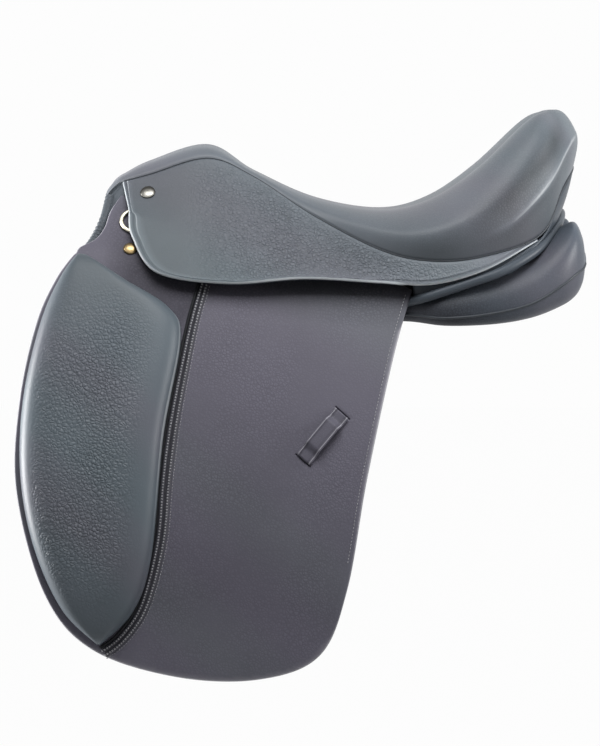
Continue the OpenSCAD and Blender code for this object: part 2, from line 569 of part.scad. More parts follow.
BACK_STATIONS = 2;      // the cantle back reaches this many stations of the seat to each side
BACK_ROLL = 0.4;        // and this share of the rear roll
back_leather = 2.5;
function cantle_back_grid() =
  [for (i = [-10:10]) let (f = abs(i) / 10, e = seam_at(LAST - BACK_STATIONS * f),
                           b = rear_roll_at(BACK_ROLL * f))
    [for (j = [0:3])
      sided(mix(b + [0, 0, rear_roll_radius + gap + 0.4], e - [0, 0, seat_cut + 1.5], j / 3), i)]];
module cantle_back() color(leather) sheet(cantle_back_grid(), -back_leather, 0);

// Path of the front roll from the middle of the pommel down to the fold, and the arch below it
FRONT_ROLL = [
  [-1.3, 0, 147.5], [-3.2, 26, 145], [-6.5, 42, 135.5], [-10.5, 59, 118], [-17, 75, 101], [-25, 87, 89],
  [-36, 97, 79]
];
GULLET_ARCH = [
  [-5, 0, 122], [-6, 22, 117], [-9, 32, 105], [-13, 42, 88], [-18, 54, 70], [-27, 64, 58], [-37, 74, 50]
];
facing_leather = 2;
function front_at(path, u) = let (p = spline(path, u)) [p.x - pommel_reach, -p.y, p.z];
module front_roll() color(leather_dark)
  tube([for (i = [-14:14]) sided(front_at(FRONT_ROLL, abs(i) / 14), i)], front_roll_radius, 8);
function facing_grid() =
  [for (i = [-12:12]) let (u = abs(i) / 12, a = front_at(FRONT_ROLL, u), b = front_at(GULLET_ARCH, u))
    [for (j = [0:3]) sided(mix(towards(a, b, front_roll_radius + gap), b, j / 3), i)]];
module pommel_facing() color(leather_dark) sheet(facing_grid(), -facing_leather, 0);

// Panel: a long flocked cushion on each side of the channel

// Stations: share of the reach to the pommel's front or the cantle's back, middle outside the channel's edge,
// half width, height of the middle, slope outwards, half thickness, rake
PANEL = [
  [-1.030, 38, 18, 76, -1.15, 8, 0.4], [-0.987, 38, 33, 70, -1.15, 14, 0.4],
  [-0.805, 38, 35, 58, -1.05, 16, 0.35], [-0.530, 38, 36, 48, -0.95, 18, 0.2],
  [-0.212, 41, 40, 40, -0.6, 20, 0], [0.100, 42, 37, 38, -0.44, 19, 0], [0.280, 47, 43, 40, -0.4, 19.5, 0],
  [0.440, 54, 54, 41, -0.37, 22.5, 0], [0.640, 52, 52, 45, -0.33, 26, 0],
  [0.800, 48, 48, 52.5, -0.28, 28.5, 0], [0.920, 44, 41, 64.5, -0.23, 31, 0],
  [0.984, 41, 32, 72, -0.2, 28.5, 0], [1.016, 40, 20, 72, -0.2, 16, 0], [1.028, 40, 8, 72, -0.2, 6, 0]
];
PANEL_RINGS = 20;
PANEL_POINTS = 20;
BOXY = 0.45;            // exponent that makes the cushion's section fuller than an ellipse
function power(v, e) = sign(v) * pow(abs(v), e);
function panel_point(u, a, inset) =
  let (q = spline(PANEL, u), half = max(q[2] - inset, 1),
       thick = max(q[5] - inset * (1.15 + 0.6 * abs(q[4])), 1), out = half * power(cos(a), BOXY),
       z = q[3] + q[4] * out + thick * power(sin(a), BOXY), x = q[0] * (q[0] < 0 ? pommel_reach : cantle_x))
  [x + q[6] * (z - q[3]), -channel_half - q[1] - out, z];
function panel_grid(angles, steps, inset) =
  [for (i = [0:PANEL_RINGS])
    [for (k = [0:steps]) panel_point(i / PANEL_RINGS, mix(angles[0], angles[1], k / steps), inset)]];
flock_inset = panel_leather + 1.4;
FLOCK_ENDS = [0.05, 0.97];
// Angles round the section where each piece of leather starts and ends; 0 is outwards and 90 is up
LINING_ANGLES = [42, 148];
BASE_ANGLES = [150, 328];
GUSSET_ANGLES = [330, 400];
module panel_flock() color("ivory") loft([for (i = [0:PANEL_RINGS])
  [for (k = [0:PANEL_POINTS - 1])
    panel_point(mix(FLOCK_ENDS[0], FLOCK_ENDS[1], i / PANEL_RINGS), 360 * (k + 0.5) / PANEL_POINTS,
                flock_inset)]]);
module panel_skin(angles, steps)
  between(panel_grid(angles, steps, 0), panel_grid(angles, steps, panel_leather));
module panel_base() color(leather_dark) panel_skin(BASE_ANGLES, 9);
module panel_gusset() color(leather_dark) panel_skin(GUSSET_ANGLES, 4);
module panel_lining() color(leather_dark) panel_skin(LINING_ANGLES, 5);

// Girth straps hang from webs nailed to the tree bars

BILLET_FRONT = 150;     // place of the front strap along the fold
billet_pivot = -18;     // height of the pivot above the fold
web_top = BAR_FOOT + 0.8;   // the web reaches just past the lower edge of the tree bar
web_margin = 6;         // it is this much wider than the strap on each side
strap_top = -9;         // upper end of the straps
function billet_x(i) = BILLET_FRONT + i * billet_spacing;
function web_line(x) = concat([for (z = [-36, -24, -12, -3]) flank_at(x, z, -web_depth)],
                              [for (d = [5, 14, web_top]) head_at(x, d, -web_depth)]);
module girth_web(i)
  sheet([for (k = [-1:1]) web_line(billet_x(i) + k * (billet_width / 2 + web_margin))], -web_cloth, 0);
module girth_webs() color("tan") {
  girth_web(0);
  girth_web(1);
}
first_hole = 36;        // from the strap's tip to its first hole
module billet(i) color(leather_dark) difference() {
  x = billet_x(i);
  w = billet_width / 2;
  tip = billet_pivot - billet_length;
  bent([[x - w, strap_top], [x - w, tip + w], [x - 0.4 * w, tip], [x + 0.4 * w, tip], [x + w, tip + w],
        [x + w, strap_top]], billet_depth, billet_depth + billet_leather);
  for (k = [0:billet_holes - 1]) billet_hole(x, tip + first_hole + k * hole_pitch);
}
module billet_hole(x, z) in_flap_frame() translate([x, flank_y(z), z])
  rotate([-asin(flank_sine(z)), 0, 0]) rotate([90, 0, 0])
    cylinder(r = billet_hole_radius, h = 8 * billet_leather, center = true, $fn = fine);

// Stirrup bar: a steel base on the tree, with a tongue that opens to the rear and a hinged catch

BAR_STATION = 2.65;      // place along the seat
BAR_DOWN = 0.9;        // place down the tree's side
bar_stand = 0.9;        // the base stands off the tree's curve on its rivets
bar_base = 2.6;
bar_base_length = 72;
bar_top_edge = 13;      // height of the base's upper edge above the tongue's middle
bar_post = 12;
catch_length = 20;
catch_play = 0.2;
bar_pin = 2;
tongue_in = bar_stand + bar_base + stirrup_room;
tongue_out = tongue_in + tongue_thickness;
tongue_half = tongue_thickness / 2;
bar_start = -bar_base_length / 2;
catch_x = bar_start + tongue_length - tongue_height / 2;
module in_bar_frame() {
  o = bar_side(BAR_STATION, BAR_DOWN);
  ex = unit(bar_side(BAR_STATION + 0.25, BAR_DOWN) - bar_side(BAR_STATION - 0.25, BAR_DOWN));
  up = bar_side(BAR_STATION, BAR_DOWN - 0.2) - bar_side(BAR_STATION, BAR_DOWN + 0.1);
  ez = unit(up - (up * ex) * ex);
  placed(o, ex, cross(ez, ex), ez) children();
}
module bar_block(x0, x1, d0, d1, z0, z1) translate([x0, -d1, z0]) cube([x1 - x0, d1 - d0, z1 - z0]);
RIVETS = [[-28, 7], [0, 7], [28, 7]];   // along the base and above the tongue's middle
rivet_radius = 2.2;
rivet_head = 4;
rivet_in = tree_wall - 2;   // depth of a rivet in the tree
module stirrup_bar() color(steel) in_bar_frame() union() {
  h = tongue_height / 2;
  bar_block(bar_start, -bar_start, bar_stand, bar_stand + bar_base, -h, bar_top_edge);
  bar_block(bar_start, bar_start + bar_post, bar_stand + bar_base - 0.1, tongue_out, -h, h);
  bar_block(bar_start, catch_x - h - 0.5, tongue_in, tongue_out, -h, h);
  bar_block(bar_start, catch_x, tongue_in + tongue_half, tongue_out, -h, h);
  translate([catch_x, -tongue_in - tongue_half, 0]) rotate([90, 0, 0])
    cylinder(r = h, h = tongue_half, $fn = fine);
  translate([catch_x, -tongue_in, 0]) rotate([90, 0, 0])
    cylinder(r = bar_pin, h = tongue_half + 0.5, $fn = fine);
}
module bar_rivets() color(steel) in_bar_frame() for (p = RIVETS)
  translate([p.x, rivet_in, p.y]) rotate([90, 0, 0]) {
    cylinder(r = rivet_radius, h = rivet_in + bar_stand + bar_base, $fn = fine);
    translate([0, 0, rivet_in + bar_stand + bar_base]) cylinder(r = rivet_head, h = 1.4, $fn = fine);
  }
module bar_catch() color(steel) in_bar_frame() difference() {
  h = tongue_height / 2 - 0.2;
  translate([catch_x, -tongue_in, 0]) rotate([90, 0, 0]) {
    cylinder(r = h, h = tongue_half - catch_play, $fn = fine);
    translate([0, -h, 0]) cube([catch_length - h, 2 * h, tongue_half - catch_play]);
    translate([catch_length - h, 0, 0]) cylinder(r = h, h = tongue_half - catch_play, $fn = fine);
  }
  translate([catch_x, 0, 0]) rotate([90, 0, 0]) cylinder(r = bar_pin + 0.1, h = 2 * tongue_out, $fn = fine);
}

tree_head();
tree_bar();  // left_tree_bar
mirrored() tree_bar();  // right_tree_bar
tree_cantle();
gullet_plate();
spring_steel();  // left_spring_steel
mirrored() spring_steel();  // right_spring_steel
seat_web_long();
seat_web_cross();
seat_foam();
seat_cover();
seat_piping();
skirt_top();  // left_skirt_top
mirrored() skirt_top();  // right_skirt_top
skirt();  // left_skirt
mirrored() skirt();  // right_skirt
skirt_nail();  // left_skirt_nail
mirrored() skirt_nail();  // right_skirt_nail
cantle_back();
rear_roll();
pommel_facing();
front_roll();
flap_head();  // left_flap_head
mirrored() flap_head();  // right_flap_head
flap();  // left_flap
mirrored() flap();  // right_flap
knee_block();  // left_knee_block
mirrored() knee_block();  // right_knee_block
keeper();  // left_keeper
mirrored() keeper();  // right_keeper
flap_nail();  // left_flap_nail
mirrored() flap_nail();  // right_flap_nail
dee_chape();  // left_dee_chape
mirrored() dee_chape();  // right_dee_chape
dee();  // left_dee
mirrored() dee();  // right_dee
stirrup_bar();  // left_stirrup_bar
mirrored() stirrup_bar();  // right_stirrup_bar
bar_rivets();  // left_bar_rivets
mirrored() bar_rivets();  // right_bar_rivets
bar_catch();  // left_bar_catch
mirrored() bar_catch();  // right_bar_catch
girth_webs();  // left_girth_webs
mirrored() girth_webs();  // right_girth_webs
billet(0);  // left_front_billet
mirrored() billet(0);  // right_front_billet
billet(1);  // left_rear_billet
mirrored() billet(1);  // right_rear_billet
sweat_flap();  // left_sweat_flap
mirrored() sweat_flap();  // right_sweat_flap
panel_flock();  // left_panel_flock
mirrored() panel_flock();  // right_panel_flock
panel_base();  // left_panel_base
mirrored() panel_base();  // right_panel_base
panel_gusset();  // left_panel_gusset
mirrored() panel_gusset();  // right_panel_gusset
panel_lining();  // left_panel_lining
mirrored() panel_lining();  // right_panel_lining
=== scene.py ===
import math

import bmesh
import bpy
import numpy as np
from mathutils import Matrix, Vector
from mathutils.geometry import delaunay_2d_cdt


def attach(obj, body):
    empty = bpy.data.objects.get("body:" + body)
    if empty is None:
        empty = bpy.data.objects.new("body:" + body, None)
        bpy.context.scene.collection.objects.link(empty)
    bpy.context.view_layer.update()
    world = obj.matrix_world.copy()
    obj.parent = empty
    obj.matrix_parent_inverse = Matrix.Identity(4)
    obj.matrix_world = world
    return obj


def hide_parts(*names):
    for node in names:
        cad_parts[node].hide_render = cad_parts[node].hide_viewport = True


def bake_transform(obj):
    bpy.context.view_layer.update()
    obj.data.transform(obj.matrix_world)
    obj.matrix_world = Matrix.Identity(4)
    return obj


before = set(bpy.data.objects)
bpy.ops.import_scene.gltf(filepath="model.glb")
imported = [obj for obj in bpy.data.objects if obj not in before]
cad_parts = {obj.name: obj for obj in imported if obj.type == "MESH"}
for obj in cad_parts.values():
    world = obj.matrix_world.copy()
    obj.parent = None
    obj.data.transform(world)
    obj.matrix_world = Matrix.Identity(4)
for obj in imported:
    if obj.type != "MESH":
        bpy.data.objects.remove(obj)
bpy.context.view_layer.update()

# Tree: the skeleton of the saddle, head, two bars and cantle pressed from beech veneers and glued.
# It stays raw under the foam and leather, and shows only from below, through the channel.


class Value:
    """A number, colour or vector of a finish. Operators between values add Math nodes."""

    def __init__(self, tree, socket=None):
        self.tree = tree
        self.socket = socket

    def node(self, kind, settings, inputs, output=0):
        made = self.tree.nodes.new("ShaderNode" + kind)
        for name, value in settings.items():
            setattr(made, name, value)
        for name, value in inputs.items():
            if isinstance(value, Value):
                self.tree.links.new(value.socket, made.inputs[name])
            else:
                made.inputs[name].default_value = value
        return Value(self.tree, made.outputs[output])

    def math(self, operation, a, b=0.0):
        return self.node("Math", {"operation": operation}, {0: a, 1: b})

    def __add__(self, other):
        return self.math("ADD", self, other)

    def __sub__(self, other):
        return self.math("SUBTRACT", self, other)

    def __rsub__(self, other):
        return self.math("SUBTRACT", other, self)

    def __mul__(self, other):
        return self.math("MULTIPLY", self, other)

    __radd__ = __add__
    __rmul__ = __mul__

    def step(self, low, high):
        return self.node("MapRange", {"interpolation_type": "SMOOTHSTEP"},
                         {"Value": self, "From Min": low, "From Max": high})

    def mixed(self, under, over):
        """Colour under where this value is 0 and colour over where it is 1."""
        return self.node("Mix", {"data_type": "RGBA", "clamp_factor": True}, {0: self, 6: under, 7: over}, 2)

    def shades(self, colour, low):
        """From a darker shade of a colour, where this value is 0, to the colour itself."""
        return self.mixed(tuple(low * c for c in colour) + (1,), (*colour, 1))

    def feeds(self, socket):
        self.tree.links.new(self.socket, socket)


def finish(name, **constants):
    """A new finish: its shader, with what is the same all over, and the place on the piece in metres."""
    made = bpy.data.materials.new(name)
    made.use_nodes = True
    shader = made.node_tree.nodes["Principled BSDF"]
    for socket, value in constants.items():
        shader.inputs[socket.replace("_", " ")].default_value = value
    return made, shader.inputs, Value(made.node_tree).node("TexCoord", {}, {}, "Object")


def noise(place, scale, detail=2.0, output=0):
    return place.node("TexNoise", {}, {"Vector": place, "Scale": scale, "Detail": detail}, output)


def bump(place, height, distance, strength=1.0):
    return place.node("Bump", {}, {"Height": height, "Distance": distance, "Strength": strength})


def beech_laminate():
    made, sockets, place = finish("beech_laminate", Roughness=0.55)
    veneers = place.node("TexWave", {"bands_direction": "Z"},
                         {"Vector": place, "Scale": 160.0, "Distortion": 1.5, "Detail": 2.0}, 1)
    flecks = noise(place, 900.0, 4.0)
    tone = veneers * 0.5 + flecks * 0.5
    tone.mixed((0.30, 0.17, 0.085, 1), (0.52, 0.34, 0.19, 1)).feeds(sockets["Base Color"])
    bump(place, tone, 0.0003, 0.5).feeds(sockets["Normal"])
    return made


def wear_finish(nodes, made):
    """Gives CAD nodes that keep their own mesh a finish."""
    for name in nodes:
        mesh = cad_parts[name].data
        mesh.materials.clear()
        mesh.materials.append(made)


SIDES = (("left", np.array([1, 1, 1])), ("right", np.array([1, -1, 1])))
wear_finish(["tree_head", "tree_cantle", "left_tree_bar", "right_tree_bar"], beech_laminate())

# Gullet plate and spring steels: blued strip steel that stiffens the tree's head and lets its waist flex.
# They are riveted to the laminate from below.


def strip_steel(name, colour, roughness):
    made, sockets, place = finish(name, Metallic=1.0)
    scuffs = noise(place, 260.0, 6.0)
    scuffs.shades(colour, 0.7).feeds(sockets["Base Color"])
    (scuffs * 0.25 + roughness).feeds(sockets["Roughness"])
    bump(place, noise(place, 1500.0, 3.0), 0.00005, 0.6).feeds(sockets["Normal"])
    return made


wear_finish(["gullet_plate", "left_spring_steel", "right_spring_steel"],
            strip_steel("blued_steel", (0.22, 0.24, 0.28), 0.28))

# Stirrup bars: drop-forged steel, riveted to the tree, each with a hinged catch at the open end.
# The stirrup leather hangs on the tongue; all three pieces are bright zinc plated.

wear_finish([side + piece for side, _ in SIDES for piece in ("_stirrup_bar", "_bar_rivets", "_bar_catch")],
            strip_steel("forged_steel", (0.62, 0.63, 0.64), 0.3))

# Seat webs: strained linen webbing, one band along the tree and one across it under the foam.
# They are nailed to head, bars and cantle and make the springy bed of the seat.

MM = 0.001
# Sizes are in millimetres, heights over the underside of the panels
SEAT_LENGTH = 486.0
POMMEL_REACH = 236.0
CANTLE_X = SEAT_LENGTH - POMMEL_REACH
SEAT_HALF = 137.0
POMMEL_HEIGHT = 194.0
SEAT_HEIGHT = 125.0
CANTLE_HEIGHT = 230.0
FOAM_FRONT = 13.0
FOAM_REAR = 26.0
# Stations from pommel to cantle: spine place, pommel and cantle share of the spine's height, crest,
# bulge of the side (share of the rib, drop), edge place, share of the half width, edge drop
SEAT = [
    (0.008, 0.50, 0.00, -1, 0.85, 1.5, 0.008, 0.307, 4),
    (0.068, 0.725, 0.00, -2.5, 0.87, 7, 0.068, 0.314, 12),
    (0.195, 0.99, 0.00, -3, 0.87, 7, 0.195, 0.350, 13),
    (0.296, 0.60, 0.00, -0.5, 0.87, 1.5, 0.296, 0.410, 5),
    (0.428, 0.19, 0.00, -1.5, 0.89, 8, 0.428, 0.620, 18),
    (0.572, 0.00, 0.00, -1, 0.96, 17, 0.572, 0.890, 40),
    (0.681, 0.00, 0.07, 4, 1.015, 24, 0.681, 0.993, 58),
    (0.778, 0.00, 0.345, 9, 1.03, 31, 0.792, 0.978, 82),
    (0.844, 0.00, 0.61, 29.4, 1.045, 15, 0.916, 0.715, 89),
    (0.858, 0.00, 0.67, 34.0, 1.055, 2, 0.968, 0.440, 48),
    (0.866, 0.00, 0.71, 31.6, 1.060, -2.5, 0.992, 0.220, 35),
    (0.868, 0.00, 0.72, 30, 1.063, -4, 0.998, 0.000, 30),
]
LAST = len(SEAT) - 1
# The rib after the last one is the right-hand copy of the one before it, so the cantle is round at the middle
RIBS = [*SEAT, SEAT[-2][:7] + (-SEAT[-2][7], SEAT[-2][8])]
CREST = 0.6
CREST_SHIFT = 0.14
TREE_INSET = 9.0
TREE_DROP = 3.0


def spline(knots, u):
    """Smooth curve through the knots, u running from 0 to 1 over all of them."""
    knots = np.asarray(knots, float)
    last = len(knots) - 1
    s = np.clip(np.asarray(u, float), 0, 1) * last
    i = np.minimum(s.astype(int), last - 1)
    f = (s - i)[..., None]

    def knot(k):
        k = np.clip(k, 0, last)
        return knots[k] if knots.ndim == 2 else np.take_along_axis(knots, k[None, ..., None], 0)[0]

    a, b, c, d = knot(i - 1), knot(i), knot(i + 1), knot(i + 2)
    return b + f * ((c - a) / 2 + f * ((a - 2.5 * b + 2 * c - d / 2) + f * ((d - a) / 2 + 1.5 * (b - c))))


def mix(a, b, f):
    return a + (b - a) * f


def unit(v):
    return v / np.maximum(np.linalg.norm(v, axis=-1, keepdims=True), 1e-9)


def along(share):
    return share * SEAT_LENGTH - POMMEL_REACH


def rib_place(rib, share, height):
    return np.stack([mix(along(rib[..., 0]), along(rib[..., 6]), share),
                     -share * rib[..., 7] * SEAT_HALF, height], -1)


def spine_height(rib):
    return (SEAT_HEIGHT + rib[..., 1] * (POMMEL_HEIGHT - SEAT_HEIGHT)
            + rib[..., 2] * (CANTLE_HEIGHT - SEAT_HEIGHT))


def rib_curve(rib, knots, k):
    """Point of a rib: knots are (share, height) pairs from the spine outwards."""
    knots = np.stack([np.stack(np.broadcast_arrays(share, height), -1) for share, height in knots])
    q = spline(knots, k)
    return rib_place(rib, q[..., 0], q[..., 1])


def seat_at(s, k):
    s, k = np.broadcast_arrays(np.asarray(s, float), np.asarray(k, float))
    rib = spline(RIBS, s / (LAST + 1))
    top = spine_height(rib)
    return rib_curve(rib, [(0 * top, top), (CREST + CREST_SHIFT * rib[..., 2], top + rib[..., 3]),
                           (rib[..., 4], top - rib[..., 5]), (1 + 0 * top, top - rib[..., 8])], k)


def tree_at(s, k):
    s, k = np.broadcast_arrays(np.asarray(s, float), np.asarray(k, float))
    rib = spline(RIBS, s / (LAST + 1))
    top = spine_height(rib)
    under = top - mix(FOAM_FRONT, FOAM_REAR, s / LAST)
    reach = np.hypot(along(rib[..., 6]) - along(rib[..., 0]), rib[..., 7] * SEAT_HALF)
    edge = 1 - TREE_INSET / np.maximum(reach, 2 * TREE_INSET)
    return rib_curve(rib, [(0 * top, under), (CREST * edge, under + 0.55 * np.maximum(rib[..., 3], 0)),
                           (edge, top - rib[..., 8] - TREE_DROP)], k)


def flip(points):
    return points * np.array([1, -1, 1])


def grid_faces(rows, columns):
    at = np.arange(rows * columns).reshape(rows, columns)
    return np.stack([at[:-1, :-1], at[1:, :-1], at[1:, 1:], at[:-1, 1:]], -1).reshape(-1, 4)


def surface_normals(points, faces):
    """Normals at the points of an open or closed sheet of triangles or quads."""
    a, b = faces[:, 0], faces[:, 1]
    c, d = faces[:, 2], faces[:, -1]
    turned = np.cross(points[c] - points[a], points[d] - points[b] if faces.shape[1] == 4
                      else points[c] - points[b])
    summed = np.zeros_like(points)
    for column in faces.T:
        np.add.at(summed, column, turned)
    return unit(summed)


def laid(grid, outwards):
    """Points, faces and normals of a grid of points, with the normals turned outwards."""
    points, faces = grid.reshape(-1, 3), grid_faces(*grid.shape[:2])
    normals = surface_normals(points, faces)
    return points, faces, normals * np.sign((normals @ np.array(outwards)).mean())


def open_sides(faces):
    """The sides that only one face of a sheet has, as pairs of points."""
    pairs = np.concatenate([np.stack([faces[:, k - 1], faces[:, k]], 1) for k in range(faces.shape[1])])
    _, first, times = np.unique(np.sort(pairs, axis=1), axis=0, return_index=True, return_counts=True)
    return pairs[first[times == 1]]


def edge_of(faces, count):
    """Which points lie on the open edge of a sheet."""
    edge = np.zeros(count, bool)
    edge[open_sides(faces).ravel()] = True
    return edge


def closed_skin(faces, upper, under):
    """Skin of a sheet from its upper and its under points; at the open edge both take the upper ones."""
    edge = edge_of(faces, len(upper))
    below = np.where(edge, np.arange(len(upper)), len(upper) + np.cumsum(~edge) - 1)
    return np.concatenate([upper, under[~edge]]), np.concatenate([faces, below[faces[:, ::-1]]])


def shell(points, faces, high, low, normals=None):
    """Closed skin round a sheet, raised by high above and by low below, meeting at its edge."""
    normals = surface_normals(points, faces) if normals is None else normals
    high, low = (np.broadcast_to(v, len(points)).astype(float)[:, None] for v in (high, low))
    high = np.where(edge_of(faces, len(points))[:, None], (high + low) / 2, high)
    return closed_skin(faces, points + high * normals, points + low * normals)


def rounded(edge, thick):
    """Height of the upper and the under side of leather whose edge is rounded."""
    r = thick / 2
    lift = np.sqrt(np.maximum(r * r - (r - np.minimum(edge, r)) ** 2, 0))
    return lift - r, -lift - r


def dress(name, points, faces, made, body, stands_for=(), slot="", **fields):
    """A piece of the scene from points in millimetres, riding on a body."""
    mesh = bpy.data.meshes.new(name)
    mesh.from_pydata((np.asarray(points) * MM).tolist(), [], [list(map(int, f)) for f in faces])
    work = bmesh.new()
    work.from_mesh(mesh)
    bmesh.ops.recalc_face_normals(work, faces=work.faces)
    work.to_mesh(mesh)
    work.free()
    mesh.polygons.foreach_set("use_smooth", np.ones(len(mesh.polygons), bool))
    for field, values in fields.items():
        values = np.broadcast_to(values, len(points)).astype(np.float32)
        mesh.attributes.new(field, "FLOAT", "POINT").data.foreach_set("value", values)
    mesh.materials.append(made)
    piece = bpy.data.objects.new(name, mesh)
    bpy.context.scene.collection.objects.link(piece)
    if body:
        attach(piece, body)
    if stands_for:
        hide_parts(*stands_for)
    return piece


def webbing(name, colour):
    made, sockets, place = finish(name, Roughness=0.85, Sheen_Weight=0.2)
    warp = place.node("TexWave", {"bands_direction": "X"}, {"Vector": place, "Scale": 110.0}, 1)
    weft = place.node("TexWave", {"bands_direction": "DIAGONAL"}, {"Vector": place, "Scale": 150.0}, 1)
    weave = warp * weft
    weave.shades(colour, 0.55).feeds(sockets["Base Color"])
    bump(place, weave, 0.0006).feeds(sockets["Normal"])
    return made


LINEN = webbing("linen_webbing", (0.56, 0.47, 0.33))
WEB_LAYER = 2.0
WEB_GAP = 1.0
WEB_CLEARANCE = 0.5
# Stations from end to end, share of the ribs across, depth under the foam's bed
SEAT_WEBS = (
    ("seat_web_long", np.linspace(LAST / 3, LAST * 17 / 18, 60), np.linspace(-0.25, 0.25, 13), WEB_GAP),
    ("seat_web_cross", np.linspace(3.6, 4.5, 20), np.linspace(-0.9, 0.9, 49),
     WEB_GAP + WEB_LAYER + WEB_CLEARANCE),
)

for name, run, reach, under in SEAT_WEBS:
    web = tree_at(run[:, None], np.abs(reach))
    web[:, :, 1] *= np.where(reach < 0, 1, -1)
    points, faces, up = laid(web, (0, 0, 1))
    dress(name, *shell(points, faces, -under, -under - WEB_LAYER, up), LINEN, "saddle", [name], "webbing")

# Seat foam: moulded latex, thin at the twist and thick under the seat bones, bonded to webs and tree.
# It gives the seat its form and is wholly covered by the leather.

SEAT_COLUMNS = 64
SEAT_STEPS = 80
CLOSER_AT_SEAM = 1.6
SEAT_LEATHER = 2.0
PIPING_RADIUS = 2.0
SEAT_CUT = PIPING_RADIUS + 1.1
COVER_CLEARANCE = 0.8


def seat_sheet(surface, ends, stations):
    """Ribs from the left front round the cantle to the right front, joined along the spine: points, faces,
    distance from the outer edge, station and share of the rib."""
    n, m = len(stations) - 1, SEAT_STEPS
    s = stations[np.abs(np.arange(-n, n + 1))][:, None]
    k = ends(s) * (1 - (np.arange(m + 1) / m) ** CLOSER_AT_SEAM)
    s = s + 0 * k
    grid = surface(s, k)
    grid[n + 1:, :, 1] *= -1
    last = (2 * n + 1) * m
    at = np.arange(last).reshape(2 * n + 1, m)
    spine = last + np.minimum(np.arange(2 * n + 1), 2 * n - np.arange(2 * n + 1))
    at = np.concatenate([at, spine[:, None]], 1)
    faces = at.ravel()[grid_faces(*at.shape)]
    steps = np.linalg.norm(np.diff(grid, axis=1), axis=2)
    run = np.concatenate([np.zeros((2 * n + 1, 1)), np.cumsum(steps, 1)], 1)

    def listed(values):
        return np.concatenate([values[:, :m].reshape(last, *values.shape[2:]), values[:n + 1, m]])

    return listed(grid), faces, listed(run), listed(s), listed(k)


def whole_rib(s):
    return 1 + 0 * s


def foam_end(s):
    last_span = np.linalg.norm(seat_at(s, 2 / 3) - seat_at(s, 1), axis=-1)
    return 1 - np.minimum(0.7 * SEAT_CUT / last_span, 0.38)


def latex_foam():
    made, sockets, place = finish("latex_foam", Roughness=0.9)
    cells = place.node("TexVoronoi", {}, {"Vector": place, "Scale": 700.0})
    cells.mixed((0.55, 0.47, 0.33, 1), (0.80, 0.72, 0.55, 1)).feeds(sockets["Base Color"])
    bump(place, cells, 0.0008).feeds(sockets["Normal"])
    return made


foam_stations = LAST * (1 - np.arange(SEAT_COLUMNS + 1) / SEAT_COLUMNS)
foam_points, seat_faces, _, _, _ = seat_sheet(seat_at, foam_end, foam_stations)
foam_normals = surface_normals(foam_points, seat_faces)
foam_normals *= np.sign(foam_normals[:, 2].mean())
bed_points = seat_sheet(tree_at, whole_rib, foam_stations)[0]
upper = foam_points - (SEAT_LEATHER + COVER_CLEARANCE) * foam_normals
below = len(upper) + np.arange(len(upper))
rim = open_sides(seat_faces)
wall = np.stack([rim[:, 1], rim[:, 0], below[rim[:, 0]], below[rim[:, 1]]], 1)
foam = dress("seat_foam", np.concatenate([upper, bed_points]),
             np.concatenate([seat_faces, below[seat_faces[:, ::-1]], wall]),
             latex_foam(), "saddle", ["seat_foam"], "foam")

# Seat cover: one piece of soft pebbled cowhide, dyed charcoal, stretched wet over the foam.
# Its edge is drawn into the seam with the skirts and sewn there with the piping.


def leather(name, colour, cast=None, pebble=3.2, depth=0.3, roughness=0.46, patchy=0.35, gloss=0.18,
            rub_and_highlight_level=1.9, dark=0.66):
    """Dyed grain leather: pebbles between creases, pores, soft slanting clouds of another cast.
    The colour is painted darker in the creases, as shade, and paler where the grain is, as sheen.
    Where the field edge is above 0 it is pale and smooth, for rubbed edges and painted highlights,
    and below 0 it is painted darker, as shade."""
    made, sockets, place = finish(name, Specular_IOR_Level=gloss)
    drift = noise(place, 120.0, 1.0, 1)
    bent = place.node("VectorMath", {"operation": "MULTIPLY_ADD"}, {0: drift, 1: (0.004,) * 3, 2: place})
    creases = place.node("TexVoronoi", {"feature": "DISTANCE_TO_EDGE"},
                         {"Vector": bent, "Scale": 1000.0 / pebble}).step(0.0, 0.3)
    domes = place.node("TexVoronoi", {"feature": "SMOOTH_F1"},
                       {"Vector": bent, "Scale": 1000.0 / pebble, "Smoothness": 0.6})
    small = place.node("TexVoronoi", {"feature": "SMOOTH_F1"},
                       {"Vector": bent, "Scale": 2300.0 / pebble, "Smoothness": 0.5})
    pores = noise(place, 5200.0, 2.0)
    patches = noise(place, 11.0, 3.0).step(0.3, 0.7)
    edge = place.node("Attribute", {"attribute_name": "edge"}, {}, 2)
    grain = place.node("Attribute", {"attribute_name": "grain"}, {}, 2)
    strength = grain * (patches * patchy + (1 - patchy)) * (1 - edge.step(0.0, 1.0))
    height = (creases * 0.45 - domes * 0.75 - small * 0.3) * strength + pores * 0.04
    bump(place, height, depth * MM).feeds(sockets["Normal"])
    broad = noise(place, 14.0, 4.0)
    # Painted shade in the creases and on the pebbles' sides, painted sheen where the grain is
    tone = (creases * 0.6 + 0.4 - domes * 0.25) * strength + (1 - strength)
    shade = tone * 0.6 + broad * 0.35 + 0.3 * edge + 0.3 * strength - 0.07
    slant = place.node("VectorMath", {"operation": "DOT_PRODUCT"}, {0: place, 1: (1 / 3,) * 3}, "Value")
    clouds = noise(slant + 0.3, 8.0, 2.0).step(0.38, 0.62)
    tints = [(tuple(dark * v for v in c) + (1,), tuple(1.2 * v + 0.01 for v in c) + (1,))
             for c in (colour, cast or colour)]
    deep, lighter_tone = (clouds.mixed(a, b) for a, b in zip(*tints))
    # One pale colour for rubbed edges and for painted highlights
    rub_and_highlight = tuple(rub_and_highlight_level * (0.4 * v + 0.6 * max(colour)) + 0.03 for v in colour) + (1,)
    edge.step(0.3, 1.0).mixed(shade.mixed(deep, lighter_tone), rub_and_highlight).feeds(sockets["Base Color"])
    (broad * 0.14 - edge * 0.06 + (1 - creases) * strength * 0.12 + (roughness - 0.07)).feeds(
        sockets["Roughness"])
    return made


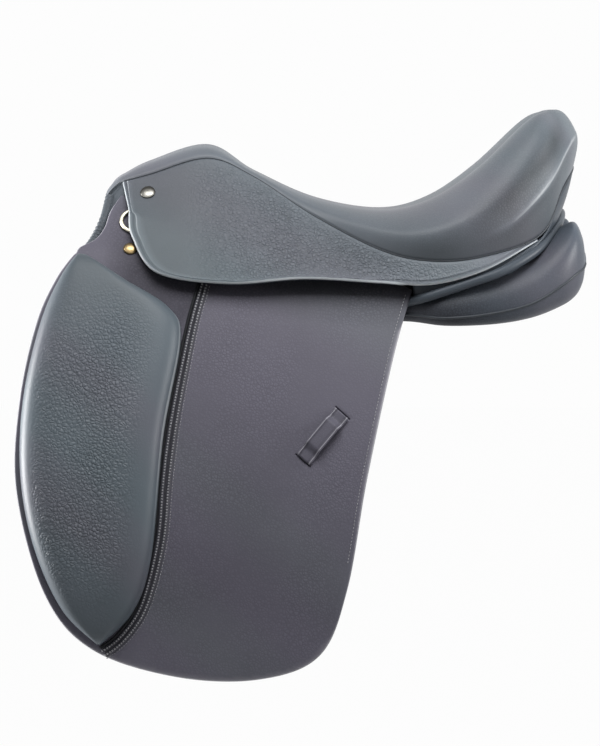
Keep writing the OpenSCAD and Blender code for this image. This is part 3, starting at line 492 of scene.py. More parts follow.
SEAT_HIDE = leather("seat_hide", (0.097, 0.116, 0.132), (0.105, 0.110, 0.130), pebble=2.4, roughness=0.4,
                    gloss=0.25, rub_and_highlight_level=2.4, dark=0.34)
COVER_COLUMNS = 110
# The front is turned down over the roll: reach and drop at places across the pommel
FRONT_TURN = 10
FRONT_PLACES = (0, 26, 42)
FRONT_REACH = (13.1, 14.4, 17.6)
FRONT_DROP = (13.2, 15.0, 17.9)
FRONT_BOW = np.array([-3.4, 0, 1.7])
# Fullness over the pommel
FULL_STATIONS = (0, 1.2, 2, 3)
FULLNESS = (3.2, 2.0, 1.0, 0)
# Ridge round the cantle and the hollow inside it: stations, share of the ribs, share of the full height
RIM_STATIONS = (7.0, 7.4, 7.8, 8.3, 9.4, 11)
RIM_SHARES = (0.84, 0.84, 0.80, 0.76, 0.67, 0.64)
RIM_HEIGHTS = (0, 0.3, 0.9, 1, 0.5, 0)
RIM_RISE = 2.2
RIM_HOLLOW = 2.0
SEAM_DIP = 1.0


def cover_at(s, k):
    """The seat's outer face; below station 0 it is turned down over the front of the pommel."""
    start = seat_at(np.maximum(s, 0), k)
    start[..., 2] += np.interp(s, FULL_STATIONS, FULLNESS) * (1 - k ** 2)
    across = np.abs(start[..., 1])
    end = start - np.stack([np.interp(across, FRONT_PLACES, FRONT_REACH), 0 * across,
                            np.interp(across, FRONT_PLACES, FRONT_DROP)], -1)
    t = np.clip(-s, 0, 1)[..., None]
    return (1 - t) ** 2 * start + 2 * t * (1 - t) * (mix(start, end, 0.5) + FRONT_BOW) + t * t * end


def bell(distance, width):
    """1 at no distance, falling off on both sides over the width."""
    return np.exp(-(distance / width) ** 2)


def fade(distance, reach):
    """1 at no distance, dying away over the reach."""
    return np.exp(-distance / reach)


stations = np.concatenate([LAST * (1 - np.arange(COVER_COLUMNS + 1) / COVER_COLUMNS),
                           -np.linspace(0, 1, FRONT_TURN + 1)[1:]])
cover_points, seat_faces, from_seam, s, k = seat_sheet(cover_at, whole_rib, stations)
cover_normals = surface_normals(cover_points, seat_faces)
cover_normals *= np.sign(cover_normals[:, 2].mean())
beside = k - np.interp(s, RIM_STATIONS, RIM_SHARES)
rim_form = RIM_RISE * bell(beside, 0.032) - RIM_HOLLOW * bell(beside + 0.12, 0.08)
rim_form *= np.interp(s, RIM_STATIONS, RIM_HEIGHTS)
cover_points += rim_form[:, None] * cover_normals
cover_normals = surface_normals(cover_points, seat_faces)
cover_normals *= np.sign(cover_normals[:, 2].mean())
seam_rows = slice(0, SEAT_STEPS * (2 * len(stations) - 1), SEAT_STEPS)
sewn = s[seam_rows] >= 0.05
seam_line, seam_normals = cover_points[seam_rows][sewn], cover_normals[seam_rows][sewn]
seam_stations = s[seam_rows][sewn]
dip = -SEAM_DIP * bell(from_seam, 1.8) * (s >= 0)
seat = dress("seat_cover", *shell(cover_points, seat_faces, dip, dip - SEAT_LEATHER, cover_normals),
             SEAT_HIDE, "saddle", ["seat_cover"], "seat_leather")


def field(piece, name, values):
    """Spreads a value over a piece whose upper points come first; the under side gets the mean."""
    data = np.full(len(piece.data.vertices), float(np.mean(values)), np.float32)
    data[:len(values)] = values
    piece.data.attributes.new(name, "FLOAT", "POINT").data.foreach_set("value", data)


# Painted highlights make the seat paler along the seam, on the pommel, in a streak along the ridge round the
# cantle and on the cantle's top; painted shade darkens a band inside the ridge, the leather beyond it and a
# band above the seam
pommel_highlight = np.interp(s, (2, 4), (0.28, 0))
ridge_highlight = 1.3 * bell(beside, 0.018) * np.interp(s, (7.0, 7.5, 8.5, 9.3, 10.4), (0, 1, 1, 0.5, 0))
cantle_highlight = np.interp(s, (8.6, 9.6), (0, 0.28)) * np.clip((k - 0.4) / 0.2, 0, 1)
# Painted shade inside the ridge round the cantle and on the leather beyond it
beside_ridge = 2.0 * bell(beside + 0.13, 0.1) + 0.9 * np.clip(beside / 0.05, 0, 1)
beside_ridge *= np.interp(s, (6.6, 7.4, 8.5, 9.4), (0, 1, 1, 0))
above_seam_shade = 0.7 * fade(from_seam, 30) * np.interp(s, (4.5, 5.5, 7.5, 8.5), (0, 1, 1, 0))
rub_and_highlight = 0.25 * fade(from_seam, 4) + pommel_highlight + ridge_highlight + cantle_highlight
field(seat, "edge", rub_and_highlight - beside_ridge - above_seam_shade)
field(seat, "grain", 0.35 * (1 - fade(from_seam, 12)))

# Seat piping: a cord wrapped in thin dark leather, sewn into the seam between seat, skirts and cantle.
# It stands out a little more round the cantle, where the seam isn't drawn down.


def ring_faces(rings, sides):
    """Faces of a closed tube of rings, with one face across each end."""
    at = np.arange(rings * sides).reshape(rings, sides)
    after = np.roll(at, -1, 1)
    around = np.stack([at[:-1], at[1:], after[1:], after[:-1]], -1).reshape(-1, 4)
    return [*around.tolist(), at[0].tolist(), at[-1][::-1].tolist()]


def tube(path, radius, sides):
    """Closed tube along a path; radius is one value, one for each point, or one for each point and side."""
    path = np.asarray(path, float)
    t = unit(np.gradient(path, axis=0))
    side = unit(np.cross(t, np.array([0.1, 0.05, 1.0])))
    up = np.cross(side, t)
    a = np.linspace(0, 2 * np.pi, sides, endpoint=False)[None, :, None]
    radius = np.asarray(radius, float)
    radius = np.broadcast_to(radius[:, None] if radius.ndim == 1 else radius, (len(path), sides))
    rings = path[:, None] + radius[..., None] * (np.cos(a) * side[:, None] + np.sin(a) * up[:, None])
    return rings.reshape(-1, 3), ring_faces(len(path), sides)


def evenly(line, pitch, closed=True):
    """The points of a line at even steps."""
    line = np.asarray(line, float)
    line = np.concatenate([line, line[:1]]) if closed else line
    run = np.concatenate([[0], np.cumsum(np.linalg.norm(np.diff(line, axis=0), axis=1))])
    count = max(int(round(run[-1] / pitch)), 8)
    at = np.linspace(0, run[-1], count, endpoint=not closed)
    return np.stack([np.interp(at, run, line[:, k]) for k in range(line.shape[1])], 1)


def both_ways(half):
    """The whole of a line that runs from the middle to the left, mirrored to the right."""
    return np.concatenate([half[::-1], flip(half[1:])])


def from_middle(knots, u):
    """Curve through knots that start at the middle of the saddle, smooth over it."""
    knots = np.asarray(knots, float)
    u = (1 + np.asarray(u) * (len(knots) - 1)) / len(knots)
    return spline(np.concatenate([flip(knots[1:2]), knots]), u)


PIPING_HIDE = leather("piping_hide", (0.028, 0.033, 0.040), pebble=1.2, depth=0.05, roughness=0.4)
# Depth and radius along the skirts and round the cantle
PIPING_SUNK = (1.2, 0.6)
PIPING_SHOWN = (1.0, 1.5)
round_cantle = np.clip((seam_stations - 7.6) / 0.8, 0, 1)
sunk = mix(*PIPING_SUNK, round_cantle)
line = np.column_stack([seam_line - sunk[:, None] * seam_normals, mix(*PIPING_SHOWN, round_cantle)])
line = evenly(line, 2.0, closed=False)
dress("seat_piping", *tube(line[:, :3], line[:, 3], 12), PIPING_HIDE, "saddle", ["seat_piping"],
      "trim_leather", edge=0.0, grain=0.3)

# Panels: two long cushions of wool flock sewn into soft leather, with a gusset at the rear.
# They lie on the horse's back on either side of the channel and are laced to the tree.

# Stations: share of the reach to pommel or cantle, middle and half width outside the channel's edge,
# height of the middle, slope outwards, half thickness, rake
PANEL = [
    (-1.030, 38, 18, 76, -1.15, 8, 0.4),
    (-0.987, 38, 33, 70, -1.15, 14, 0.4),
    (-0.805, 38, 35, 58, -1.05, 16, 0.35),
    (-0.530, 38, 36, 48, -0.95, 18, 0.2),
    (-0.212, 41, 40, 40, -0.6, 20, 0),
    (0.100, 42, 37, 38, -0.44, 19, 0),
    (0.280, 47, 43, 40, -0.4, 19.5, 0),
    (0.440, 54, 54, 41, -0.37, 22.5, 0),
    (0.640, 52, 52, 44, -0.33, 26.5, 0),
    (0.800, 48, 48, 51, -0.28, 29.5, 0),
    (0.920, 44, 41, 65.5, -0.23, 35, 0),
    (0.984, 41, 32, 74, -0.2, 34.5, 0),
    (1.016, 40, 21, 74, -0.2, 22.5, 0),
    (1.028, 40, 9, 73, -0.2, 8, 0),
]
CHANNEL_HALF = 33.0
# Squareness of the section, and how far the leather swells over the flock: sideways, up and down
BOXY = 0.8
FULLER = (1.05, 1.09)
PANEL_RINGS = 160
PANEL_SIDES = 72
# Rings that close the two ends: share of the end ring, distance beyond it
FRONT_END = ((0.3, 5), (0.7, 3.6), (0.9, 1.8))
REAR_END = ((0.8, 0.8), (0.4, 1.4))
# The welt's place round the section, its radius, and how far it is sunk
PANEL_WELT_ANGLE = -8.0
PANEL_WELT = 1.5
PANEL_WELT_SUNK = 0.4


def power(v, e):
    return np.sign(v) * np.abs(v) ** e


def panel_at(u, angle, inset=0.0):
    u, angle = np.broadcast_arrays(np.asarray(u, float), np.radians(np.asarray(angle, float)))
    q = spline(PANEL, u)
    half = np.maximum(FULLER[0] * q[..., 2] - inset, 0.6)
    thick = np.maximum(FULLER[1] * q[..., 5] - inset, 0.6)
    out = half * power(np.cos(angle), BOXY)
    z = q[..., 3] + q[..., 4] * out + thick * power(np.sin(angle), BOXY)
    x = q[..., 0] * np.where(q[..., 0] < 0, POMMEL_REACH, CANTLE_X)
    return np.stack([x + q[..., 6] * (z - q[..., 3]), -CHANNEL_HALF - q[..., 1] - out, z], -1)


def panel_rings():
    dense = np.linspace(0, 360, 1441)
    rings = []
    for u in np.linspace(0, 1, PANEL_RINGS):
        line = panel_at(u + 0 * dense, dense)
        run = np.concatenate([[0], np.cumsum(np.linalg.norm(np.diff(line, axis=0), axis=1))])
        even = np.interp(np.linspace(0, run[-1], PANEL_SIDES, endpoint=False), run, dense)
        rings.append(panel_at(u + 0 * even, even))
    first, last = rings[0], rings[-1]
    front = [mix(first.mean(0), first, share) - np.array([beyond, 0, 0]) for share, beyond in FRONT_END]
    rear = [mix(last.mean(0), last, share) + np.array([beyond, 0, 0]) for share, beyond in REAR_END]
    return np.array(front + rings + rear)


PANEL_HIDE = leather("panel_hide", (0.054, 0.068, 0.086), (0.072, 0.074, 0.092), pebble=2.2, depth=0.12,
                     roughness=0.4, patchy=0.6, dark=0.3)
rings = panel_rings()
panel_faces = ring_faces(len(rings), PANEL_SIDES)
# Painted shade forward of the rear end, where the flap keeps the light away; the rear end is a little paler
painted_shade = np.interp(rings[..., 0].reshape(-1), (120, 215), (-1.9, 0.2))
outside = panel_at(np.linspace(0.03, 0.997, 140), PANEL_WELT_ANGLE, PANEL_WELT_SUNK)
inner = panel_at(np.linspace(0.997, 0.86, 30), -180 - PANEL_WELT_ANGLE, PANEL_WELT_SUNK)
t = np.linspace(0, 1, 12)[1:-1, None]
across = mix(outside[-1], inner[0], t) + np.sin(np.pi * t) * np.array([0.3, 0, 0])
welt = evenly(np.concatenate([outside, across, inner]), 3.0, closed=False)
for side, mirror in SIDES:
    panel = dress(side + "_panel", rings.reshape(-1, 3) * mirror, panel_faces, PANEL_HIDE, "saddle",
                  [side + part for part in ("_panel_flock", "_panel_base", "_panel_gusset", "_panel_lining")],
                  "panel_leather", edge=painted_shade, grain=0.5)
    dress(side + "_panel_welt", *tube(welt * mirror, PANEL_WELT, 10), PIPING_HIDE, "saddle", (),
          "trim_leather", edge=0.2, grain=0.3)

# Sweat flaps: the inner flaps of firm leather between girth straps and horse, sewn to the tree.
# Only their edges show under the outer flaps.

# The flap folds over the tree: front end of the fold, its slope and its toe-in, lean of the flap below it
# and of the head above it, and the radius to which the flap is bent round the horse
FOLD_START = np.array([-POMMEL_REACH - 41, -108.0, 83.0])
FOLD_SLOPE = math.radians(6.2)
FOLD_TOE = math.radians(-3.0)
FLAP_LEAN = math.radians(28.0)
HEAD_LEAN = math.radians(43.0)
FLAP_BEND = 1230.0
FLAP_WIDTH = 353.0
FLAP_LENGTH = 414.0
FLAP_LEATHER = 4.0
# Edge of the flap below the fold, front end to rear end, in shares of its width and length
FLAP_FORM = np.array([
    (-0.002, 0.000), (-0.047, 0.072), (-0.084, 0.185), (-0.099, 0.375), (-0.072, 0.592), (0.050, 0.835),
    (0.203, 0.953), (0.450, 0.996), (0.690, 0.980), (0.858, 0.906), (0.916, 0.740), (0.936, 0.470),
    (0.970, 0.170), (1.002, 0.000),
])


def from_flap(p):
    """From the flap's frame (along the fold, inwards, up the flap) to the saddle's."""
    c, s = math.cos(FOLD_TOE), math.sin(FOLD_TOE)
    x, y, z = p[..., 0] * c - p[..., 1] * s, p[..., 0] * s + p[..., 1] * c, p[..., 2]
    c, s = math.cos(FOLD_SLOPE), math.sin(FOLD_SLOPE)
    return FOLD_START + np.stack([x * c + z * s, y, -x * s + z * c], -1)


def flank_y(z):
    lean = math.sin(FLAP_LEAN) + z / FLAP_BEND
    return FLAP_BEND * (math.cos(FLAP_LEAN) - np.sqrt(1 - lean * lean))


def fold_line(d):
    """Section of the flap's outer face: curved over the horse below the fold, leaning back flat above it."""
    low, high = np.minimum(d, 0), np.maximum(d, 0)
    return np.stack([flank_y(low) + high * math.sin(HEAD_LEAN), low + high * math.cos(HEAD_LEAN)], -1)


# The fold is rounded by taking the mean over this stretch of the section
FOLD_ROUND = np.linspace(-9, 9, 7)


def flap_at(x, d, out):
    """Point on the flap: along the fold, up from it, and out of its outer face."""
    x, d, out = np.broadcast_arrays(np.asarray(x, float), np.asarray(d, float), np.asarray(out, float))
    line = sum(fold_line(d + w) for w in FOLD_ROUND) / len(FOLD_ROUND)
    slope = unit(sum(fold_line(d + w + 1) - fold_line(d + w - 1) for w in FOLD_ROUND))
    line = line + out[..., None] * np.stack([-slope[..., 1], slope[..., 0]], -1)
    return from_flap(np.concatenate([x[..., None], line], -1))


def to_outline(points, outline):
    """Distance of points to a closed outline."""
    a, b = outline, np.roll(outline, -1, 0)
    best = np.full(len(points), 1e9)
    for p, q in zip(a, b):
        d = q - p
        f = np.clip(((points - p) @ d) / max(d @ d, 1e-12), 0, 1)
        best = np.minimum(best, np.linalg.norm(points - p - f[:, None] * d, axis=1))
    return best


def inside(points, outline):
    a, b = outline, np.roll(outline, -1, 0)
    odd = np.zeros(len(points), bool)
    for p, q in zip(a, b):
        if p[1] != q[1]:
            crosses = (p[1] > points[:, 1]) != (q[1] > points[:, 1])
            odd ^= crosses & (points[:, 0] < (q[0] - p[0]) * (points[:, 1] - p[1]) / (q[1] - p[1]) + p[0])
    return odd


OUTLINE_PITCH = 3.0
HOLE_SIDES = 28


def cut(outline, pitch, rows, holes=(), extra=()):
    """Triangles of a flat piece of leather: points, faces and each point's distance to the edge.
    rows are the distances of close rows of points along the edge; holes are (x, y, radius)."""
    outline = evenly(outline, min(pitch, OUTLINE_PITCH))
    low, high = outline.min(0), outline.max(0)
    x, y = np.meshgrid(np.arange(low[0], high[0], pitch), np.arange(low[1], high[1], pitch * 0.866))
    x = x + (np.arange(x.shape[0]) % 2)[:, None] * pitch / 2
    fill = np.stack([x.ravel(), y.ravel()], 1)
    t = unit(np.roll(outline, -1, 0) - np.roll(outline, 1, 0))
    area = np.sum(outline[:, 0] * np.roll(outline[:, 1], -1) - np.roll(outline[:, 0], -1) * outline[:, 1])
    inward = np.stack([-t[:, 1], t[:, 0]], 1) * np.sign(area)
    bands = [outline + inward * r for r in rows]
    loops = []
    for hx, hy, hr in holes:
        a = np.linspace(0, 2 * np.pi, HOLE_SIDES, endpoint=False)
        circle = np.stack([np.cos(a), np.sin(a)], 1)
        loops.append(circle * hr + (hx, hy))
        bands += [circle * (hr + r) + (hx, hy) for r in rows]

    def to_edge(points):
        gap = to_outline(points, outline)
        for hx, hy, hr in holes:
            gap = np.minimum(gap, np.hypot(points[:, 0] - hx, points[:, 1] - hy) - hr)
        return gap

    def keep(points, margin):
        points = points[inside(points, outline)]
        return points[to_edge(points) > margin]

    bands = [keep(b, 0.8 * r) for b, r in zip(bands, list(rows) * (1 + len(holes)))]
    fill = keep(fill, rows[-1] + 0.6 * pitch)
    verts = np.concatenate([outline, *loops, *bands, *extra, fill])
    edges, start = [], 0
    for loop in [outline, *loops]:
        edges += [(start + k, start + (k + 1) % len(loop)) for k in range(len(loop))]
        start += len(loop)
    made = delaunay_2d_cdt([Vector(v) for v in verts], edges, [], 1, 0.05)
    points = np.array([tuple(v) for v in made[0]])
    faces = np.array([f for f in made[2] if len(f) == 3])
    middle = points[faces].mean(1)
    faces = faces[inside(middle, outline) & (to_edge(middle) > 0)]
    used = np.unique(faces)
    return points[used], np.searchsorted(used, faces), to_edge(points[used])


def leather_cut(flat, thick, place, relief=0.0):
    """Skin of a cut piece: rounded edges, placed by a function of (along, up, out)."""
    points, faces, gap = flat
    gap = np.where(edge_of(faces, len(points)), 0, gap)
    high, low = rounded(gap, thick)
    upper = place(points[:, 0], points[:, 1], high + relief * (gap > 0))
    return *closed_skin(faces, upper, place(points[:, 0], points[:, 1], low)), gap


EDGE_ROWS = (0.15, 0.5, 1.1, 2.0)
SWEAT_DEPTH = 14.0
SWEAT_LEATHER = 3.0
SWEAT_TOP = -14.0
SWEAT_ENDS = (30.0, 317.7)
# The outline is the flap's, drawn in by these shares towards its middle
SWEAT_SMALLER = np.array([0.07, 0.06])
SWEAT_HIDE = leather("sweat_flap_hide", (0.060, 0.062, 0.072), pebble=2.4, depth=0.08, roughness=0.5)
sweat_form = mix(FLAP_FORM, np.array([0.45, 0.45]), SWEAT_SMALLER) * (FLAP_WIDTH, -FLAP_LENGTH)
sweat_outline = np.concatenate([[(SWEAT_ENDS[0], SWEAT_TOP)], spline(sweat_form[2:13], np.linspace(0, 1, 90)),
                                [(SWEAT_ENDS[1], SWEAT_TOP)]])
points, faces, gap = leather_cut(cut(sweat_outline, 6.0, EDGE_ROWS), SWEAT_LEATHER,
                                 lambda x, d, out: flap_at(x, d, out - SWEAT_DEPTH))
for side, mirror in SIDES:
    sweat = dress(side + "_sweat_flap", points * mirror, faces, SWEAT_HIDE, "saddle",
                  [side + "_sweat_flap"], "strap_leather")
    field(sweat, "edge", 0.8 * fade(gap, 1.5))
    field(sweat, "grain", 0.6 * (1 - fade(gap, 4)))

# Girth webs and straps: short linen webs nailed to the tree bars carry two long straps on each side.
# The straps are doubled leather, stitched along both edges and punched with a row of buckle holes.

# Depths are behind the flap's outer face, heights are up from its fold
WEB_DEPTH = 6.3
WEB_CLOTH = 2.0
WEB_TOP = 22.8
STRAP_DEPTH = 8.8
STRAP_LEATHER = 4.0
STRAP_HALF = 14.0
STRAP_PLACES = (("front", 150.0), ("rear", 275.0))
STRAP_TOP = -9.0
STRAP_TIP = -378.0
STRAP_SEAM = 2.6
WEB_BESIDE = 6.0
FIRST_HOLE = 36.0
HOLE_PITCH = 25.0
HOLES = 8
HOLE_RADIUS = 3.0


def head_at(x, d, out):
    return from_flap(np.stack(np.broadcast_arrays(
        x, d * math.sin(HEAD_LEAN) - out * math.cos(HEAD_LEAN),
        d * math.cos(HEAD_LEAN) + out * math.sin(HEAD_LEAN)), -1))


def flank_at(x, z, out):
    lean = math.sin(FLAP_LEAN) + z / FLAP_BEND
    return from_flap(np.stack(np.broadcast_arrays(
        x, flank_y(z) - out * np.sqrt(1 - lean * lean), z + out * lean), -1))


def stitches(path, place, pitch=3.4, length=2.5, radius=0.5, sink=0.15):
    """A row of thread stitches along a flat path, placed by a function of (along, up, out)."""
    path = evenly(path, pitch, closed=False)
    t = unit(np.gradient(path, axis=0))
    a = np.array([-0.5, -0.36, 0, 0.36, 0.5]) * length
    r = np.array([0.2, 0.85, 1, 0.85, 0.2]) * radius
    turn = np.linspace(0, 2 * np.pi, 6, endpoint=False)
    go = a[:, None] + 0 * turn
    across = r[:, None] * np.cos(turn)
    out = r[:, None] * np.sin(turn) - sink
    x = path[:, 0, None, None] + go * t[:, 0, None, None] - across * t[:, 1, None, None]
    y = path[:, 1, None, None] + go * t[:, 1, None, None] + across * t[:, 0, None, None]
    one = ring_faces(len(a), len(turn))
    faces = [[go.size * k + v for v in f] for k in range(len(path)) for f in one]
    return place(x.reshape(-1), y.reshape(-1), (out + 0 * x).reshape(-1)), faces


def joined(rows):
    """Several meshes as one."""
    points, faces, start = [], [], 0
    for p, f in rows:
        points.append(p)
        faces += [[start + int(v) for v in face] for face in f]
        start += len(p)
    return np.concatenate(points), faces


def waxed_thread(name, colour):
    made, sockets, place = finish(name, Roughness=0.55)
    twist = place.node("TexWave", {"bands_direction": "DIAGONAL"}, {"Vector": place, "Scale": 420.0}, 1)
    twist.shades(colour, 0.6).feeds(sockets["Base Color"])
    bump(place, twist, 0.0002).feeds(sockets["Normal"])
    return made


THREAD = waxed_thread("waxed_thread", (0.30, 0.30, 0.32))
STRAP_HIDE = leather("strap_hide", (0.050, 0.052, 0.060), pebble=1.6, depth=0.06, roughness=0.48)
rise = np.concatenate([np.linspace(-36, -3, 12), np.linspace(5, WEB_TOP, 10)])


def web_at(x, d):
    low, high = flank_at(x, np.minimum(d, 0), -WEB_DEPTH), head_at(x, np.maximum(d, 0), -WEB_DEPTH)
    return np.where((d < 0)[..., None], low, high)


def strap_at(x, d, out):
    return flank_at(x, d, out - STRAP_DEPTH)


webs = []
straps = {}
for place_name, middle in STRAP_PLACES:
    x = middle + np.linspace(-STRAP_HALF - WEB_BESIDE, STRAP_HALF + WEB_BESIDE, 15)
    points, faces, out = laid(web_at(*np.broadcast_arrays(x[:, None], rise)), (0, -1, 0))
    webs.append(shell(points, faces, 0.0, -WEB_CLOTH, out))
    w = STRAP_HALF
    outline = [(middle - w, STRAP_TOP), (middle - w, STRAP_TIP + w), (middle - 0.4 * w, STRAP_TIP),
               (middle + 0.4 * w, STRAP_TIP), (middle + w, STRAP_TIP + w), (middle + w, STRAP_TOP)]
    holes = [(middle, STRAP_TIP + FIRST_HOLE + k * HOLE_PITCH, HOLE_RADIUS) for k in range(HOLES)]
    flat = cut(outline, 5.0, (0.15, 0.5, 1.1, 1.9), holes)
    seams = [middle - w + STRAP_SEAM, middle + w - STRAP_SEAM]
    rows = [stitches([(x, STRAP_TOP - 3), (x, STRAP_TIP + w)], strap_at) for x in seams]
    straps[place_name] = leather_cut(flat, STRAP_LEATHER, strap_at), joined(rows)
web_points, web_faces = joined(webs)
for side, mirror in SIDES:
    dress(side + "_girth_webs", web_points * mirror, web_faces, LINEN, "saddle", [side + "_girth_webs"],
          "webbing")
    for place_name, ((points, faces, gap), (thread_points, thread_faces)) in straps.items():
        body = f"{side}_{place_name}_billet_body"
        strap = dress(f"{side}_{place_name}_billet", points * mirror, faces, STRAP_HIDE, body,
                      [f"{side}_{place_name}_billet"], "strap_leather")
        field(strap, "edge", 0.8 * fade(gap, 1.2))
        field(strap, "grain", 0.5 * (1 - fade(gap, 3)))
        dress(f"{side}_{place_name}_billet_stitching", thread_points * mirror, thread_faces, THREAD, body)

# Flaps: one large piece of firm pebbled leather on each side, nailed to the tree's head by its upper lobe.
# A pair of stitched ridges runs down behind the knee block, and a row of stitches along the rear edge.

# Front and rear edge of the lobe above the fold, in millimetres along the fold and up from it
HEAD_FORM = [(0, 0), (3, 8), (17, 21), (24, 38), (27, 62), (35, 86)]
HEAD_REAR = [(54, 84), (76, 58), (92, 28), (120, 14), (300, 13), (340, 6)]
FLAP_HIDE = leather("flap_hide", (0.097, 0.092, 0.120), (0.094, 0.097, 0.116), pebble=3.0, depth=0.3,
                    roughness=0.5, patchy=0.75, rub_and_highlight_level=2.6, dark=0.42)
flap_low = FLAP_FORM * (FLAP_WIDTH, -FLAP_LENGTH)
flap_outline = np.concatenate([spline(HEAD_FORM, np.linspace(0, 1, 40)), HEAD_REAR,
                               spline(flap_low, np.linspace(1, 0, 260))[:-1]])
# Slits at the ends of the keeper, through which its ends pass
KEEPER_AT = np.array([0.793 * FLAP_WIDTH, -0.381 * FLAP_LENGTH])
KEEPER_HALF = (30.0, 9.0)
KEEPER_TILT = math.radians(56.0)
SLIT_DEPTH = 2.4
SLIT_PLACE = KEEPER_HALF[0] + 0.9
SLIT_HALF = 10.2
c, s = math.cos(KEEPER_TILT), math.sin(KEEPER_TILT)
tilt = np.array([[c, s], [-s, c]])
aside, length = np.meshgrid((-1.6, -0.9, -0.45, 0, 0.45, 0.9, 1.6), np.linspace(-11, 11, 32))
slits = [np.stack([place + aside.ravel(), length.ravel()], 1) @ tilt + KEEPER_AT
         for place in (-SLIT_PLACE, SLIT_PLACE)]
flat = cut(flap_outline, 4.0, EDGE_ROWS, extra=slits)
beside = np.abs((flat[0] - KEEPER_AT) @ tilt.T)
slit = bell(beside[:, 0] - SLIT_PLACE, 0.6) * (beside[:, 1] < SLIT_HALF)
points, faces, gap = leather_cut(flat, FLAP_LEATHER, flap_at, -SLIT_DEPTH * slit)
REAR_SEAM = 5.4
rear_edge = spline(flap_low, np.linspace(0.985, 0.79, 160))
t = unit(np.gradient(rear_edge, axis=0))
rear_row = rear_edge + np.stack([t[:, 1], -t[:, 0]], 1) * REAR_SEAM
# Line of the ridges, in millimetres along the fold and up from it, and half the pair's width along it
RIDGE_LINE = [(138, -20), (132.5, -62), (128, -127), (126, -175), (126.5, -222), (129, -274), (124.7, -322),
              (117, -355), (101, -382), (85, -397)]
RIDGE_HALF = (4.6, 5.8, 5.0)
RIDGE_HIGH = 2.8
RIDGE_STEPS = 33
ridge = evenly(spline(RIDGE_LINE, np.linspace(0, 1, 200)), 1.6, closed=False)
t = unit(np.gradient(ridge, axis=0))
aside = np.stack([-t[:, 1], t[:, 0]], 1)
half = np.interp(np.linspace(0, 1, len(ridge)), (0, 0.45, 1), RIDGE_HALF)[:, None]


def raised(flat, height, foot):
    """Closed form on the flap: a grid of places at a height over it, on a foot of the same outline."""
    top = flap_at(flat[..., 0], flat[..., 1], height).reshape(-1, 3)
    low = flap_at(flat[..., 0], flat[..., 1], foot).reshape(-1, 3)
    faces = grid_faces(*flat.shape[:2])
    return closed_skin(faces, np.where(edge_of(faces, len(top))[:, None], low, top), low)


def on_ridge(x, d, out):
    return flap_at(x, d, out + RIDGE_HIGH)


span = np.linspace(-1, 1, RIDGE_STEPS)
hump = np.abs(np.sin(np.pi * span)) ** 0.7
from_end = np.minimum(np.arange(len(ridge)), np.arange(len(ridge))[::-1])[:, None]
ridge_form = raised(ridge[:, None] + (half * span)[..., None] * aside[:, None],
                    RIDGE_HIGH * hump * np.clip(from_end / 5, 0, 1), -0.6)
thread = joined([stitches(rear_row, flap_at), stitches(ridge + 1.2 * half * aside, flap_at, 3.0, 1.9, 0.5)])
crests = [ridge + share * half * aside for share in (-0.5, 0.5)]
beads = joined([stitches(crest, on_ridge, 2.9, 1.7, 1.05, 0.5) for crest in crests])
# A near-black cord in the gap between the knee block and the ridges is painted shade: it stands for the
# shadow there
SHADE_CORD_RADIUS = 1.7
SHADE_CORD_BESIDE = 1.6
SHADE_CORD_LIFT = 0.8
beside_ridge = ridge - (half + SHADE_CORD_BESIDE) * aside
block_shade_cord = tube(flap_at(beside_ridge[:, 0], beside_ridge[:, 1], SHADE_CORD_LIFT), SHADE_CORD_RADIUS, 10)
SHADE_CORD_HIDE = leather("shade_cord_hide", (0.010, 0.011, 0.013), pebble=1.4, depth=0.05, roughness=0.6, gloss=0.08)
RIDGE_HIDE = leather("ridge_hide", (0.046, 0.046, 0.056), pebble=1.6, depth=0.06, roughness=0.48)
PALE_THREAD = waxed_thread("pale_thread", (0.36, 0.36, 0.38))
# Painted shadow of the skirt on the flap below it; painted light makes the flap paler at the lower edge
# and towards the rear edge, and painted shade darkens a band just above the lower edge
x, d = flat[0].T
skirt_shadow = np.clip((d - np.interp(x, (118, 142), (-92, -46))) / 34, 0, 1) * np.interp(x, (28, 62), (0, 1))
lighter_tone = (np.interp(d, (-400, -375, -330, -250, -120), (0.3, 0.25, -0.4, -0.1, 0.1))
        + np.interp(x, (240, 330), (0, 0.3)))
FOLD_MIDDLE = FLAP_WIDTH / 2
FOLD_REACH = 10.0
for side, mirror in SIDES:
    body = side + "_flap_body"
    flap = dress(side + "_flap", points * mirror, faces, FLAP_HIDE, None,
                 [side + "_flap", side + "_flap_head"], "flap_leather")
    # Pale cut edge, with the painted shadow and the painted light and shade on top
    field(flap, "edge", 0.95 * fade(gap, 1.5) + np.clip(lighter_tone - 2.0 * skirt_shadow, -2, 0.3))
    field(flap, "grain", 0.7 * (1 - fade(gap, 5)))
    tuple(flap_at(FOLD_MIDDLE, FOLD_REACH, -FLAP_LEATHER / 2) * mirror * MM)
    tuple(flap_at(FOLD_MIDDLE, -FOLD_REACH, -FLAP_LEATHER / 2) * mirror * MM)
    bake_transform(flap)
    dress(side + "_flap_ridges", ridge_form[0] * mirror, ridge_form[1], RIDGE_HIDE, body, (), "flap_leather",
          edge=0.1, grain=0.3)
    dress(side + "_flap_stitching", thread[0] * mirror, thread[1], THREAD, body)
    dress(side + "_ridge_stitching", beads[0] * mirror, beads[1], PALE_THREAD, body)
    dress(side + "_block_shade_cord", block_shade_cord[0] * mirror, block_shade_cord[1], SHADE_CORD_HIDE, body, (), "trim_leather",
          edge=0.0, grain=0.3)

# Knee blocks: wedges of firm foam under soft pebbled leather, sewn to the front of the flaps.
# The leather is drawn tight over the rounded rim, so the grain flattens out towards it.

